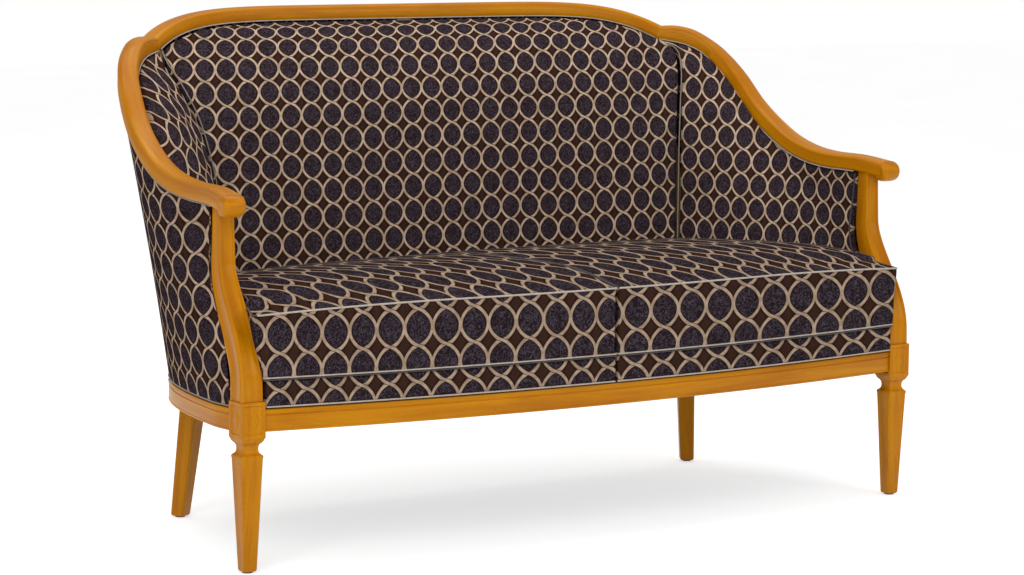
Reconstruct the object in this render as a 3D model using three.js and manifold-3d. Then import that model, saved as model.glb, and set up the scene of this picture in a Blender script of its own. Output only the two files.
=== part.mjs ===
// High back settee: show-wood frame with wavy arms, two seat cushions, padded back and wings.
// Millimetres, +Z up, the sitter looks along -Y. While it is modelled, Y = 0 is the line
// between the centres of the front legs. At the end the model is centred over its footprint.
import * as THREE from 'three';
import { mergeVertices } from 'three/addons/utils/BufferGeometryUtils.js';
import Module from 'manifold-3d';

const wasm = await Module();
wasm.setup();

// Clearances
const seatGap = 0.3; // between pieces that touch
const clothGap = 1; // between cloth or padding and the wood beside it
const cushionGap = 3; // between a cushion and the pads round it

// Front legs
const legSpacing = 1482; // between the centres of the front legs
const blockSize = 49;
const blockTopZ = 311;
const blockBottomZ = 246;
const blockChamferHeight = 5;
const blockTopRelief = 1; // softened arris round the top of the block
const legTopZ = 215;
const legTopSize = 44;
const legFootSize = 27;
const neckSize = 30;
const neckRise = 14; // from the top of the leg to the middle of the neck
const edgeChamfer = 3;

// Rear legs
const rearLegShares = [0.7655, 0.8963]; // across and along, as the seat frame's outline is given
const rearLegTopSize = 40;
const rearLegFootSize = 29;
const rearLegSplayX = 23;
const rearLegSplayY = 19;
const rearLegTurn = 30 * Math.PI / 180;

// Glides under the feet
const glideHeight = 3;
const glideRadius = 10;
const glideEdge = 0.8;

// Arm posts
const postFootSize = 45;
const postTopWidth = 32;
const postTopDepth = 28;
const postFootY = 2;
const postLean = 87;
const sweepStartZ = 340;
const sweepEndZ = 555;

// Seat frame
const railBottomZ = 256;
const railHeight = 41;
const railDepth = 32;
const railEdge = 5; // rounding of the rails' outer edges
const frontRailY = -20; // outer face of the front rail at the legs
const frontBow = 60;
const frameDepth = 555; // outer face of the back rail at its middle
const stretcherWidth = 45;
const cornerBlockHeight = 34;

// Arms and crest rail
const armZ = 670;
const armWidth = 46;
const armHeight = 32;
const scrollRadius = 21;
const scrollY = 41;
const scrollZ = 656;
const scrollLength = 47;
const scrollBead = 2;
const crestZ = 967;
const crestY = 707;
const crestWidth = 38;
const crestHeight = 28;
const notchSetback = 66;
const notchDrop = 52;

// Back frame
const stileWidth = 32;
const stileDepth = 22;
const stileSetback = 2.5; // more room behind the cover where it curves round a corner
const tackRailZ = 380;
const tackRailHeight = 45;

// Cloth
const coverThickness = 3;
const coverInset = 1; // from the face of the seat rails
const coverEdgeInset = 5; // from the outer edge of the arm and crest rails
const padEdgeInset = 2; // from the inner edge of the arm and crest rails
const webThickness = 2;
const webWidth = 52;
const webCount = 13;
const crossWebCount = 4;
const dustCoverThickness = 1.2;
const dustCoverInset = 12;

// Seat
const baseTopZ = 349;
const bandEdgeY = -22; // front of the upholstered seat at the legs
const bandBow = 62;
const baseEdge = 3;
const baseRoom = 2.5; // between the seat base and the outer covers
const cushionEdgeZ = 475;
const cushionCrown = 16;
const earInset = 29.5; // from the side of the frame to the cushion's ear, in front of the post
const earY = 36;
const earRadius = 16;
const splitGap = 1.2; // between the left and right halves of the seat

// Padding
const padBottomZ = 350;
const wingCrown = 12;

// Wood, cloth and metal colours
const woodColour = 0xc8872a;
const innerWoodColour = 0xd9b98a;
const clothColour = 0x3a2c31;
const webColour = 0x8c7a5c;
const dustClothColour = 0x1c1a1a;
const glideColour = 0x3b3029;

const halfSpan = legSpacing / 2;
const sideX = halfSpan + blockSize / 2;
const railTopZ = railBottomZ + railHeight;
const earX = sideX - earInset;
const innerBlockX = halfSpan - blockSize / 2;
const earLowX = innerBlockX - clothGap / 2;
const blockRearY = blockSize / 2;
const clothBottomZ = railTopZ + seatGap + webThickness + seatGap;
const armDrop = armHeight / 2;
const rearLegX = rearLegShares[0] * sideX;
const rearLegY = THREE.MathUtils.lerp(blockRearY, frameDepth, rearLegShares[1]);
const postTopY = postFootY + postLean;
const postTopZ = armZ - armDrop;

// Wavy line of an arm: across, from the post to the crest, and up, each as a share
const armPathShares = [
  [1.012, -0.083, -0.03],
  [1.0, 0.034, -0.003],
  [0.993, 0.18, 0.003],
  [0.993, 0.293, 0.03],
  [0.992, 0.398, 0.091],
  [0.988, 0.503, 0.202],
  [0.981, 0.589, 0.33],
  [0.969, 0.67, 0.505],
  [0.953, 0.727, 0.623],
  [0.93, 0.775, 0.717],
  [0.892, 0.825, 0.781],
  [0.85, 0.866, 0.811],
  [0.818, 0.893, 0.825],
];
const notchX = armPathShares[armPathShares.length - 1][0] * halfSpan;

// Outer face of the seat frame from a front leg to the middle of the back
const perimeterShares = [
  [0.998, 0.0],
  [1.003, 0.086],
  [0.998, 0.18],
  [0.989, 0.284],
  [0.976, 0.397],
  [0.96, 0.5],
  [0.937, 0.604],
  [0.903, 0.717],
  [0.856, 0.821],
  [0.797, 0.906],
  [0.732, 0.957],
  [0.653, 0.981],
  [0.523, 0.992],
  [0.261, 0.998],
  [0.0, 1.0],
];
const cornerShare = 9 / 14; // where the side rail meets the back rail

// Seam between the back pad and a wing, from the seat base up
const seamShares = [
  [0.694, 0.558, 0.0],
  [0.711, 0.584, 0.186],
  [0.73, 0.615, 0.365],
  [0.75, 0.647, 0.551],
  [0.773, 0.681, 0.689],
  [0.804, 0.731, 0.797],
  [0.82, 0.786, 0.859],
];

// Middle of the back pad, at the same stations
const backLineShares = [
  [0.592, 0.0],
  [0.629, 0.194],
  [0.654, 0.381],
  [0.682, 0.575],
  [0.714, 0.737],
  [0.768, 0.867],
  [0.848, 0.94],
];

// Cross section of the arm and crest rails, as shares of width and height
const railSectionShares = [
  [-0.5, -0.36],
  [-0.42, -0.5],
  [0.42, -0.5],
  [0.5, -0.36],
  [0.5, 0.08],
  [0.38, 0.34],
  [0.12, 0.5],
  [-0.12, 0.5],
  [-0.38, 0.34],
  [-0.5, 0.08],
];

// Cushion outline scale and height at each ring: under, side and crown
const cushionSideShares = [
  [0.98, 0.0],
  [0.995, 0.05],
  [1.0, 0.5],
  [0.996, 0.93],
  [0.984, 1.0],
];
const cushionCrownShares = [
  [0.95, 0.26],
  [0.89, 0.52],
  [0.79, 0.77],
  [0.62, 0.93],
  [0.36, 1.0],
];

function material(name, color, roughness, metalness) {
  const finish = new THREE.MeshStandardMaterial({ color, roughness, metalness });
  finish.name = name;
  return finish;
}

const showWood = () => material('show_wood', woodColour, 0.3, 0);
const innerWood = () => material('inner_wood', innerWoodColour, 0.7, 0);
const cloth = () => material('jacquard', clothColour, 0.85, 0);
const webbing = () => material('webbing', webColour, 0.9, 0);
const dustCloth = () => material('dust_cloth', dustClothColour, 0.95, 0);
const glidePlastic = () => material('glide', glideColour, 0.5, 0);

function piece(name, geometry, finish) {
  const flat = geometry.toNonIndexed();
  flat.computeVertexNormals();
  const mesh = new THREE.Mesh(flat, finish);
  mesh.name = name;
  return mesh;
}

function signedVolume(geometry) {
  const at = geometry.attributes.position;
  const index = geometry.index.array;
  const a = new THREE.Vector3();
  const b = new THREE.Vector3();
  const c = new THREE.Vector3();
  let sum = 0;
  for (let i = 0; i < index.length; i += 3) {
    a.fromBufferAttribute(at, index[i]);
    b.fromBufferAttribute(at, index[i + 1]);
    c.fromBufferAttribute(at, index[i + 2]);
    sum += a.dot(b.cross(c));
  }
  return sum;
}

function flipped(geometry) {
  const index = Array.from(geometry.index.array);
  for (let i = 0; i < index.length; i += 3) {
    [index[i + 1], index[i + 2]] = [index[i + 2], index[i + 1]];
  }
  geometry.setIndex(index);
  return geometry;
}

function solidFrom(points, triangles) {
  const geometry = new THREE.BufferGeometry().setFromPoints(points);
  geometry.setIndex(triangles);
  return signedVolume(geometry) < 0 ? flipped(geometry) : geometry;
}

// Closed solid through a row of rings with equal counts, with a fan on each end
function loft(rings) {
  const count = rings[0].length;
  const points = rings.flat();
  const triangles = [];
  for (let i = 0; i + 1 < rings.length; i += 1) {
    for (let j = 0; j < count; j += 1) {
      const k = (j + 1) % count;
      const low = i * count;
      const high = low + count;
      triangles.push(low + j, low + k, high + k);
      triangles.push(low + j, high + k, high + j);
    }
  }
  [rings[0], rings[rings.length - 1]].forEach((ring, end) => {
    const middle = ring.reduce((sum, p) => sum.add(p), new THREE.Vector3()).divideScalar(count);
    const start = end === 0 ? 0 : (rings.length - 1) * count;
    const hub = points.push(middle) - 1;
    for (let j = 0; j < count; j += 1) {
      const k = (j + 1) % count;
      const pair = end === 0 ? [start + k, start + j] : [start + j, start + k];
      triangles.push(hub, ...pair);
    }
  });
  return solidFrom(points, triangles);
}

// Closed solid between two grids of points with equal counts
function slab(front, back) {
  const rows = front.length;
  const columns = front[0].length;
  const points = [...front.flat(), ...back.flat()];
  const at = (i, j, side) => side * rows * columns + i * columns + j;
  const triangles = [];
  const quad = (a, b, c, d) => triangles.push(a, b, c, a, c, d);
  for (let i = 0; i + 1 < rows; i += 1) {
    for (let j = 0; j + 1 < columns; j += 1) {
      quad(at(i, j, 0), at(i, j + 1, 0), at(i + 1, j + 1, 0), at(i + 1, j, 0));
      quad(at(i, j, 1), at(i + 1, j, 1), at(i + 1, j + 1, 1), at(i, j + 1, 1));
    }
    const last = columns - 1;
    quad(at(i, 0, 1), at(i, 0, 0), at(i + 1, 0, 0), at(i + 1, 0, 1));
    quad(at(i, last, 0), at(i, last, 1), at(i + 1, last, 1), at(i + 1, last, 0));
  }
  for (let j = 0; j + 1 < columns; j += 1) {
    const last = rows - 1;
    quad(at(0, j, 0), at(0, j, 1), at(0, j + 1, 1), at(0, j + 1, 0));
    quad(at(last, j, 1), at(last, j, 0), at(last, j + 1, 0), at(last, j + 1, 1));
  }
  return solidFrom(points, triangles);
}

function mirrored(geometry) {
  return flipped(geometry.clone().scale(-1, 1, 1));
}

function toSolid(geometry) {
  const bare = geometry.clone();
  bare.deleteAttribute('normal');
  bare.deleteAttribute('uv');
  const merged = mergeVertices(bare);
  return new wasm.Manifold(new wasm.Mesh({
    numProp: 3,
    vertProperties: new Float32Array(merged.attributes.position.array),
    triVerts: new Uint32Array(merged.index.array),
  }));
}

function fromSolid(solid) {
  const mesh = solid.getMesh();
  const geometry = new THREE.BufferGeometry();
  const positions = new Float32Array(mesh.vertProperties);
  geometry.setAttribute('position', new THREE.BufferAttribute(positions, 3));
  geometry.setIndex(Array.from(mesh.triVerts));
  return geometry;
}

// Every piece is one body, so what a cut parts from it falls away
function cut(geometry, ...tools) {
  const left = tools.reduce((rest, tool) => rest.subtract(toSolid(tool)), toSolid(geometry));
  return fromSolid(left.decompose().sort((a, b) => b.volume() - a.volume())[0]);
}

function joined(...geometries) {
  return fromSolid(geometries.map(toSolid).reduce((sum, next) => sum.add(next)));
}

// Shape in plan, raised from one height to another
function plate(outline, lowZ, highZ) {
  const shape = new THREE.Shape(outline.map((p) => new THREE.Vector2(p.x, p.y)));
  const geometry = new THREE.ExtrudeGeometry(shape, { depth: highZ - lowZ, bevelEnabled: false });
  return mergedShape(geometry.translate(0, 0, lowZ));
}

function mergedShape(geometry) {
  geometry.deleteAttribute('normal');
  geometry.deleteAttribute('uv');
  return mergeVertices(geometry);
}

function plan(x, y) {
  return new THREE.Vector3(x, y, 0);
}

function smooth(share) {
  const t = Math.min(1, Math.max(0, share));
  return t * t * (3 - 2 * t);
}

// Square ring with its corners taken off, lying flat at a height
function squareRing(x, y, z, size, chamfer, turn = 0) {
  const half = size / 2;
  const short = half - chamfer;
  const corners = [
    [half, -short], [half, short], [short, half], [-short, half],
    [-half, short], [-half, -short], [-short, -half], [short, -half],
  ];
  const axis = new THREE.Vector3(0, 0, 1);
  return corners.map(([across, along]) => plan(across, along)
    .applyAxisAngle(axis, turn)
    .add(new THREE.Vector3(x, y, z)));
}

// Guide curves

const armCurve = new THREE.CatmullRomCurve3(armPathShares.map(([across, along, up]) => (
  new THREE.Vector3(
    across * halfSpan,
    postTopY + along * (crestY - postTopY),
    armZ + up * (crestZ - armZ),
  ))));

const setbackPower = 6;
const dropPower = 7;

function crestPoint(share) {
  const reach = Math.abs(share);
  return new THREE.Vector3(
    share * notchX,
    crestY - notchSetback * reach ** setbackPower,
    crestZ - notchDrop * reach ** dropPower,
  );
}

const armSteps = 34;
const crestSteps = 38;
const crestJointShare = 0.012; // leaves a hair line between the crest rail and an arm
const crestCurve = new THREE.CatmullRomCurve3(Array.from(
  { length: crestSteps + 1 },
  (_, i) => crestPoint(Math.sin((0.5 - i / crestSteps) * Math.PI)),
));

const perimeterCurve = new THREE.CatmullRomCurve3(perimeterShares.map(([across, along]) => (
  plan(across * sideX, blockRearY + along * (frameDepth - blockRearY)))));

function perimeter(share, inset) {
  const point = perimeterCurve.getPoint(share);
  const way = perimeterCurve.getTangent(share);
  return point.sub(plan(way.y, -way.x).normalize().multiplyScalar(inset));
}

function bow(x, edgeY, depth, halfWidth) {
  return edgeY - depth * (1 - (x / halfWidth) ** 2);
}

const frontFace = (x) => bow(x, frontRailY, frontBow, innerBlockX);
const bandFace = (x) => bow(x, bandEdgeY, bandBow, innerBlockX);

// A bar that follows a curve: where it is, and its outward and upward directions there
function station(curve, share) {
  const point = curve.getPoint(share);
  const way = curve.getTangent(share);
  const out = plan(way.y, -way.x).normalize();
  const up = new THREE.Vector3().crossVectors(out, way).normalize();
  return { point, out, up };
}

function offset({ point, out, up }, outward, upward) {
  return point.clone().addScaledVector(out, outward).addScaledVector(up, upward);
}

function bar(stations, sizeAt, grow = 0) {
  const last = stations.length - 1;
  return loft(stations.map((here, i) => {
    const [width, height] = sizeAt(i / last);
    return railSectionShares.map(([across, up]) => (
      offset(here, across * (width + 2 * grow), up * (height + 2 * grow))));
  }));
}

function steps(count, from = 0, to = 1) {
  return Array.from({ length: count + 1 }, (_, i) => from + (to - from) * i / count);
}

const armSize = (share) => [
  THREE.MathUtils.lerp(armWidth, crestWidth, smooth(share)),
  THREE.MathUtils.lerp(armHeight, crestHeight, smooth(share)),
];
const crestSize = () => [crestWidth, crestHeight];

// The arm ends on the crest rail's end face, so both use the crest's direction there
const jointStation = station(crestCurve, 0);

function armStation(share) {
  return share === 1 ? jointStation : station(armCurve, share);
}

const armBar = (grow) => bar(steps(armSteps).map(armStation), armSize, grow);

const crestBar = (grow) => bar(
  steps(crestSteps, crestJointShare, 1 - crestJointShare).map((at) => station(crestCurve, at)),
  crestSize,
  grow,
);

// Posts

function postY(z) {
  return postFootY + postLean * smooth((z - sweepStartZ) / (sweepEndZ - sweepStartZ));
}

function postSize(z) {
  const share = (z - blockTopZ) / (postTopZ - blockTopZ);
  return [
    THREE.MathUtils.lerp(postFootSize, postTopWidth, smooth(share)),
    THREE.MathUtils.lerp(postFootSize, postTopDepth, share),
  ];
}

const postSteps = 18;
const postLevels = steps(postSteps, blockTopZ + seatGap, postTopZ + edgeChamfer);

const slopeReach = 1; // above and below a level, where the slope of the sweep is measured

// Middle of the front or rear face of a post at each level, square to its sweep
function postFace(side, clearance) {
  return postLevels.map((z) => {
    const slope = (postY(z + slopeReach) - postY(z - slopeReach)) / (2 * slopeReach);
    const depth = postSize(z)[1] / 2 + clearance;
    const reach = Math.hypot(1, slope);
    return new THREE.Vector2(postY(z) + side * depth / reach, z - side * depth * slope / reach);
  });
}

function postSolid() {
  const front = postFace(-1, 0);
  const rear = postFace(1, 0);
  const rings = postLevels.map((z, i) => {
    const half = postSize(z)[0] / 2;
    const short = half - edgeChamfer;
    const share = edgeChamfer / postSize(z)[1];
    const nearFront = front[i].clone().lerp(rear[i], share);
    const nearRear = front[i].clone().lerp(rear[i], 1 - share);
    const corners = [
      [half, nearFront], [half, nearRear], [short, rear[i]], [-short, rear[i]],
      [-half, nearRear], [-half, nearFront], [-short, front[i]], [short, front[i]],
    ];
    return corners.map(([x, p]) => new THREE.Vector3(halfSpan + x, p.x, p.y));
  });
  return cut(loft(rings), armBar(seatGap));
}

// Wedge that clears a post's face: everything before its rear face, or behind its front face
const clearWidth = 3 * blockSize;

function postClearance(side, clearance, innerX) {
  const face = postFace(side, clearance);
  const farY = postY(postTopZ) * 2 * -side - side * blockSize;
  const lowZ = railBottomZ;
  const highZ = armZ + armHeight;
  const faceAtBlock = side * (blockSize / 2 + clearance);
  const outline = [
    new THREE.Vector2(farY, lowZ),
    new THREE.Vector2(faceAtBlock, lowZ),
    ...face,
    new THREE.Vector2(face[face.length - 1].x, highZ),
    new THREE.Vector2(farY, highZ),
  ];
  const shape = new THREE.Shape(outline);
  const geometry = new THREE.ExtrudeGeometry(shape, { depth: clearWidth, bevelEnabled: false });
  const upright = new THREE.Matrix4().makeBasis(
    new THREE.Vector3(0, 1, 0),
    new THREE.Vector3(0, 0, 1),
    new THREE.Vector3(1, 0, 0),
  );
  return mergedShape(geometry.applyMatrix4(upright).translate(innerX, 0, 0));
}

// Legs

function frontLegSolid() {
  const neckZ = legTopZ + neckRise;
  const levels = [
    [glideHeight, legFootSize - edgeChamfer],
    [glideHeight + edgeChamfer, legFootSize],
    [legTopZ - edgeChamfer, legTopSize],
    [legTopZ, legTopSize - edgeChamfer],
    [neckZ - edgeChamfer, neckSize],
    [neckZ + edgeChamfer, neckSize],
    [blockBottomZ - blockChamferHeight, blockSize - 2 * edgeChamfer],
    [blockBottomZ, blockSize],
    [blockTopZ - blockTopRelief, blockSize],
    [blockTopZ, blockSize - blockTopRelief],
  ];
  return loft(levels.map(([z, size]) => squareRing(halfSpan, 0, z, size, edgeChamfer / 2)));
}

const rearLegTopZ = railBottomZ - seatGap;

function rearLegSolid() {
  const ring = (z, size) => {
    const fall = 1 - z / rearLegTopZ;
    const x = rearLegX + rearLegSplayX * fall;
    const y = rearLegY + rearLegSplayY * fall;
    return squareRing(x, y, z, size, edgeChamfer, -rearLegTurn);
  };
  return loft([
    ring(glideHeight, rearLegFootSize - edgeChamfer),
    ring(glideHeight + edgeChamfer, rearLegFootSize),
    ring(rearLegTopZ, rearLegTopSize),
  ]);
}

function glideSolid() {
  const top = glideHeight - seatGap;
  const profile = [
    new THREE.Vector2(0, 0),
    new THREE.Vector2(glideRadius - glideEdge, 0),
    new THREE.Vector2(glideRadius, glideEdge),
    new THREE.Vector2(glideRadius, top),
    new THREE.Vector2(0, top),
  ];
  const geometry = new THREE.LatheGeometry(profile, 16);
  return mergedShape(geometry.rotateX(Math.PI / 2));
}

// Seat rails, with their outer edges rounded off

function railRing(outer, inner) {
  const way = inner.clone().sub(outer).normalize();
  const at = (base, inward, z) => base.clone().addScaledVector(way, inward).setZ(z);
  return [
    at(outer, railEdge, railBottomZ),
    at(inner, 0, railBottomZ),
    at(inner, 0, railTopZ),
    at(outer, railEdge, railTopZ),
    at(outer, 0, railTopZ - railEdge),
    at(outer, 0, railBottomZ + railEdge),
  ];
}

function frontRailSolid(grow = 0) {
  const reach = innerBlockX - seatGap + grow;
  return loft(steps(24, -reach, reach).map((x) => (
    railRing(plan(x, frontFace(x) - grow), plan(x, frontFace(x) + railDepth + grow)))));
}

const gapShare = 2 * seatGap / perimeterCurve.getLength();
const sideRailStart = 0.004; // share of the perimeter that clears the leg block
const sideRailEnd = cornerShare - gapShare;

function sideRailSolid(grow = 0, end = sideRailEnd) {
  return loft(steps(18, sideRailStart, end).map((share) => (
    railRing(perimeter(share, -grow), perimeter(share, railDepth + grow)))));
}

function backRailSolid(grow = 0) {
  const half = steps(14, cornerShare, 1);
  const right = half.map((share) => (
    railRing(perimeter(share, -grow), perimeter(share, railDepth + grow))));
  const left = half.slice(0, -1).reverse().map((share) => (
    railRing(perimeter(share, -grow), perimeter(share, railDepth + grow))
      .map((p) => p.setX(-p.x))));
  return loft([...right, ...left]);
}

// Outer faces of the upholstery. Straight lines run from the seat frame up to the rails.

function underRail(here, [width, height], side, inset) {
  return offset(here, side * (width / 2 - inset), -height / 2 - clothGap);
}

const postShare = 0.06; // where the middle of the post meets the arm curve

function sideBase(share, inset) {
  if (share < 0) {
    return new THREE.Vector3(sideX - inset, postFootY, clothBottomZ);
  }
  return perimeter(share * cornerShare, inset).setZ(clothBottomZ);
}

function outerSide(share, rise, depth) {
  const at = THREE.MathUtils.lerp(postShare, 1, Math.max(share, 0));
  const top = underRail(armStation(at), armSize(at), 1, coverEdgeInset + depth);
  return sideBase(share, coverInset + depth).lerp(top, rise);
}

function outerBack(share, rise, depth) {
  const reach = Math.abs(share);
  const base = perimeter(THREE.MathUtils.lerp(1, cornerShare, reach), coverInset + depth);
  base.setZ(clothBottomZ);
  const at = Math.acos(reach) / Math.PI;
  const top = underRail(station(crestCurve, at), crestSize(), 1, coverEdgeInset + depth);
  const point = base.lerp(top, rise);
  return share < 0 ? point.setX(-point.x) : point;
}

// Share of the way up an outer face at which it reaches a height
function riseTo(z, topZ) {
  return (z - clothBottomZ) / (topZ - clothBottomZ);
}

// Inner faces of the upholstery

const seamTop = underRail(jointStation, crestSize(), -1, padEdgeInset);
const seamCurve = new THREE.CatmullRomCurve3([
  ...seamShares.map(([across, along, up]) => new THREE.Vector3(
    across * halfSpan,
    postTopY + along * (crestY - postTopY),
    padBottomZ + up * (crestZ - padBottomZ),
  )),
  seamTop,
]);
const crestMiddle = underRail(station(crestCurve, 1 / 2), crestSize(), -1, padEdgeInset);
const backLine = new THREE.CatmullRomCurve3([
  ...backLineShares.map(([along, up]) => new THREE.Vector3(
    0,
    postTopY + along * (crestY - postTopY),
    padBottomZ + up * (crestZ - padBottomZ),
  )),
  crestMiddle,
]);

const lowBowPower = 2;

function innerBack(share, rise) {
  const seam = seamCurve.getPoint(rise);
  const middle = backLine.getPoint(rise);
  const reach = Math.abs(share);
  const power = THREE.MathUtils.lerp(lowBowPower, setbackPower, rise);
  return new THREE.Vector3(
    seam.x * share,
    THREE.MathUtils.lerp(middle.y, seam.y, reach ** power),
    THREE.MathUtils.lerp(middle.z, seam.z, reach ** dropPower),
  );
}

function wingTop(share) {
  const at = THREE.MathUtils.lerp(postShare, 1, share);
  return underRail(armStation(at), armSize(at), -1, padEdgeInset);
}

const wingFoot = new THREE.Vector3(halfSpan - postFootSize / 2, postFootY + edgeChamfer, padBottomZ);

const wingLine = seamCurve.getPoint(0).sub(wingFoot);
const wingInward = plan(-wingLine.y, wingLine.x).normalize();

// Patch between the post, the seam, the seat base and the arm, swelling towards the seat
function innerWing(share, rise) {
  const blend = (a, b, t) => a.clone().lerp(b, t);
  const low = blend(wingFoot, seamCurve.getPoint(0), share);
  const high = wingTop(share);
  const front = blend(wingFoot, wingTop(0), rise);
  const rear = seamCurve.getPoint(rise);
  const cornersLow = blend(wingFoot, seamCurve.getPoint(0), share);
  const cornersHigh = blend(wingTop(0), seamTop, share);
  const point = blend(low, high, rise)
    .add(blend(front, rear, share))
    .sub(blend(cornersLow, cornersHigh, rise));
  const swell = wingCrown * Math.sin(Math.PI * share) * Math.sin(Math.PI * rise);
  return point.addScaledVector(wingInward, swell);
}

// Pads

const frameDepthBehindPad = coverThickness + clothGap + stileDepth + clothGap;
const coverDepth = coverThickness + clothGap;
const stileStartShare = 0.4; // from here back the wing pad makes room for the stile
const stileRoomShare = 0.5;

const padRows = 12;
const padSeamGap = 4; // between the back pad and each wing pad

function wingPadSolid(grow = 0) {
  const acrossSteps = steps(12);
  const upSteps = steps(padRows);
  const front = acrossSteps.map((share) => upSteps.map((rise) => (
    innerWing(share, rise).addScaledVector(wingInward, grow))));
  const back = acrossSteps.map((share) => upSteps.map((rise) => {
    const room = smooth((share - stileStartShare) / stileRoomShare);
    const depth = THREE.MathUtils.lerp(coverDepth, frameDepthBehindPad, room);
    const start = riseTo(padBottomZ, outerSide(share, 1, depth).z);
    return outerSide(share, THREE.MathUtils.lerp(start, 1, rise), depth);
  }));
  const beforePost = postClearance(1, clothGap - grow, innerBlockX - blockSize);
  return cut(slab(front, back), beforePost, armBar(clothGap / 2), cornerStile(clothGap / 2));
}

function backPadSolid() {
  const across = steps(20, -1, 1).map((t) => Math.sin(t * Math.PI / 2));
  const upSteps = steps(padRows);
  const inside = (point) => point.setX(point.x * (1 - padSeamGap / notchX));
  const front = across.map((share) => upSteps.map((rise) => inside(innerBack(share, rise))));
  const back = across.map((share) => upSteps.map((rise) => {
    const start = riseTo(padBottomZ, outerBack(share, 1, frameDepthBehindPad).z);
    const up = THREE.MathUtils.lerp(start, 1, rise);
    return inside(outerBack(share, up, frameDepthBehindPad));
  }));
  return cut(slab(front, back), ...stileRoom(clothGap / 2));
}

// Outer covers

const coverJointShare = 0.003;

function sideCoverSolid() {
  const across = [-1, ...steps(14, 0, 1 - coverJointShare)];
  const up = steps(5);
  const face = (depth) => across.map((share) => up.map((rise) => outerSide(share, rise, depth)));
  const beforePost = postClearance(1, clothGap, innerBlockX - blockSize);
  return cut(slab(face(0), face(coverThickness)), beforePost, armBar(clothGap / 2));
}

function backCoverSolid() {
  const limit = 1 - coverJointShare;
  const across = steps(22, -1, 1).map((t) => limit * Math.sin(t * Math.PI / 2));
  const up = steps(5);
  const face = (depth) => across.map((share) => up.map((rise) => outerBack(share, rise, depth)));
  return slab(face(0), face(coverThickness));
}

// Back frame

const stileInset = coverThickness + clothGap + stileDepth / 2;

function stileSolid(share, grow = 0) {
  const inset = stileInset + share * stileSetback;
  const topZ = outerBack(share, 1, inset).z;
  const foot = outerBack(share, riseTo(railTopZ + seatGap - grow, topZ), inset);
  const head = outerBack(share, riseTo(topZ + crestHeight / 2, topZ), inset);
  const rail = share === 1 ? jointStation : station(crestCurve, 1 / 2);
  const way = perimeterCurve.getTangent(share === 1 ? cornerShare : 1);
  const ring = (middle, out) => {
    const along = plan(-out.y, out.x);
    const half = stileWidth / 2 + grow;
    const deep = stileDepth / 2 + grow;
    return [[-half, -deep], [half, -deep], [half, deep], [-half, deep]].map(([a, o]) => (
      middle.clone().addScaledVector(along, a).addScaledVector(out, o)));
  };
  const lowOut = plan(way.y, -way.x).normalize();
  return cut(loft([ring(foot, lowOut), ring(head, rail.out)]), armBar(seatGap), crestBar(seatGap));
}

const cornerStile = (grow) => stileSolid(1, grow);
const middleStile = (grow) => stileSolid(0, grow);
const stileRoom = (gap) => [middleStile(gap), cornerStile(gap), mirrored(cornerStile(gap))];

function tackRailSolid() {
  const lowZ = tackRailZ - tackRailHeight / 2;
  const highZ = tackRailZ + tackRailHeight / 2;
  const corner = (share, z, depth) => {
    const topZ = outerBack(share, 1, depth).z;
    return outerBack(share, riseTo(z, topZ), depth);
  };
  const near = coverDepth + stileSetback;
  const far = coverDepth + stileDepth;
  const reach = stileWidth / 2 / notchX / 2;
  const rough = loft(steps(10, reach, 1 - reach).map((share) => [
    corner(share, lowZ, near), corner(share, lowZ, far),
    corner(share, highZ, far), corner(share, highZ, near),
  ]));
  return cut(rough, ...stileRoom(seatGap));
}

// Right half of the seat in plan, from the split to the side and back to the middle
function seatOutline(face, inset, gap) {
  const front = steps(10, splitGap / 2, innerBlockX - gap).map((x) => plan(x, face(x)));
  const nearBlock = [
    plan(innerBlockX - gap, blockRearY + gap + clothGap),
    plan(perimeter(0, inset).x, blockRearY + gap + clothGap),
  ];
  const clearShare = 1 / perimeterShares.length;
  const side = steps(22, clearShare, 1).map((share) => perimeter(share, inset));
  side[side.length - 1].setX(splitGap / 2);
  return [...front, ...nearBlock, ...side];
}

function scaledOutline(outline, scale, z) {
  const middle = outline.reduce((sum, p) => sum.add(p), plan(0, 0)).divideScalar(outline.length);
  return outline.map((p) => middle.clone().lerp(p, scale).setZ(z));
}

function seatBaseSolid() {
  const outline = seatOutline(bandFace, coverInset + coverDepth + baseRoom, clothGap);
  const rounded = 1 - baseEdge / halfSpan;
  const whole = loft([
    scaledOutline(outline, rounded, clothBottomZ),
    scaledOutline(outline, 1, clothBottomZ + baseEdge),
    scaledOutline(outline, 1, baseTopZ - baseEdge),
    scaledOutline(outline, rounded, baseTopZ),
  ]);
  return cut(whole, ...stileRoom(seatGap));
}

// Cushions

const cushionBottomZ = baseTopZ + clothGap;
const cushionFace = (x) => bow(x, bandEdgeY - cushionGap, bandBow, innerBlockX);

function cushionOutline() {
  const front = steps(10, splitGap / 2, earX - earRadius).map((x) => plan(x, cushionFace(x)));
  const cornerY = cushionFace(earX - earRadius) + earRadius;
  const ear = steps(4, 1 / 5, 1).map((t) => plan(
    earX - earRadius + earRadius * Math.sin(t * Math.PI / 2),
    cornerY - earRadius * Math.cos(t * Math.PI / 2),
  ));
  const side = steps(10, 1 / 8, 1).map((share) => {
    const swell = wingCrown * Math.sin(Math.PI * share);
    return innerWing(share, 0).addScaledVector(wingInward, swell).setZ(0);
  });
  const back = steps(10, 1, 0).slice(1).map((share) => {
    const point = innerBack(share, 0);
    return plan(point.x - share * cushionGap, point.y - cushionGap);
  });
  back[back.length - 1].setX(splitGap / 2);
  return [...front, ...ear, plan(earX, earY), ...side, ...back];
}

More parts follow.
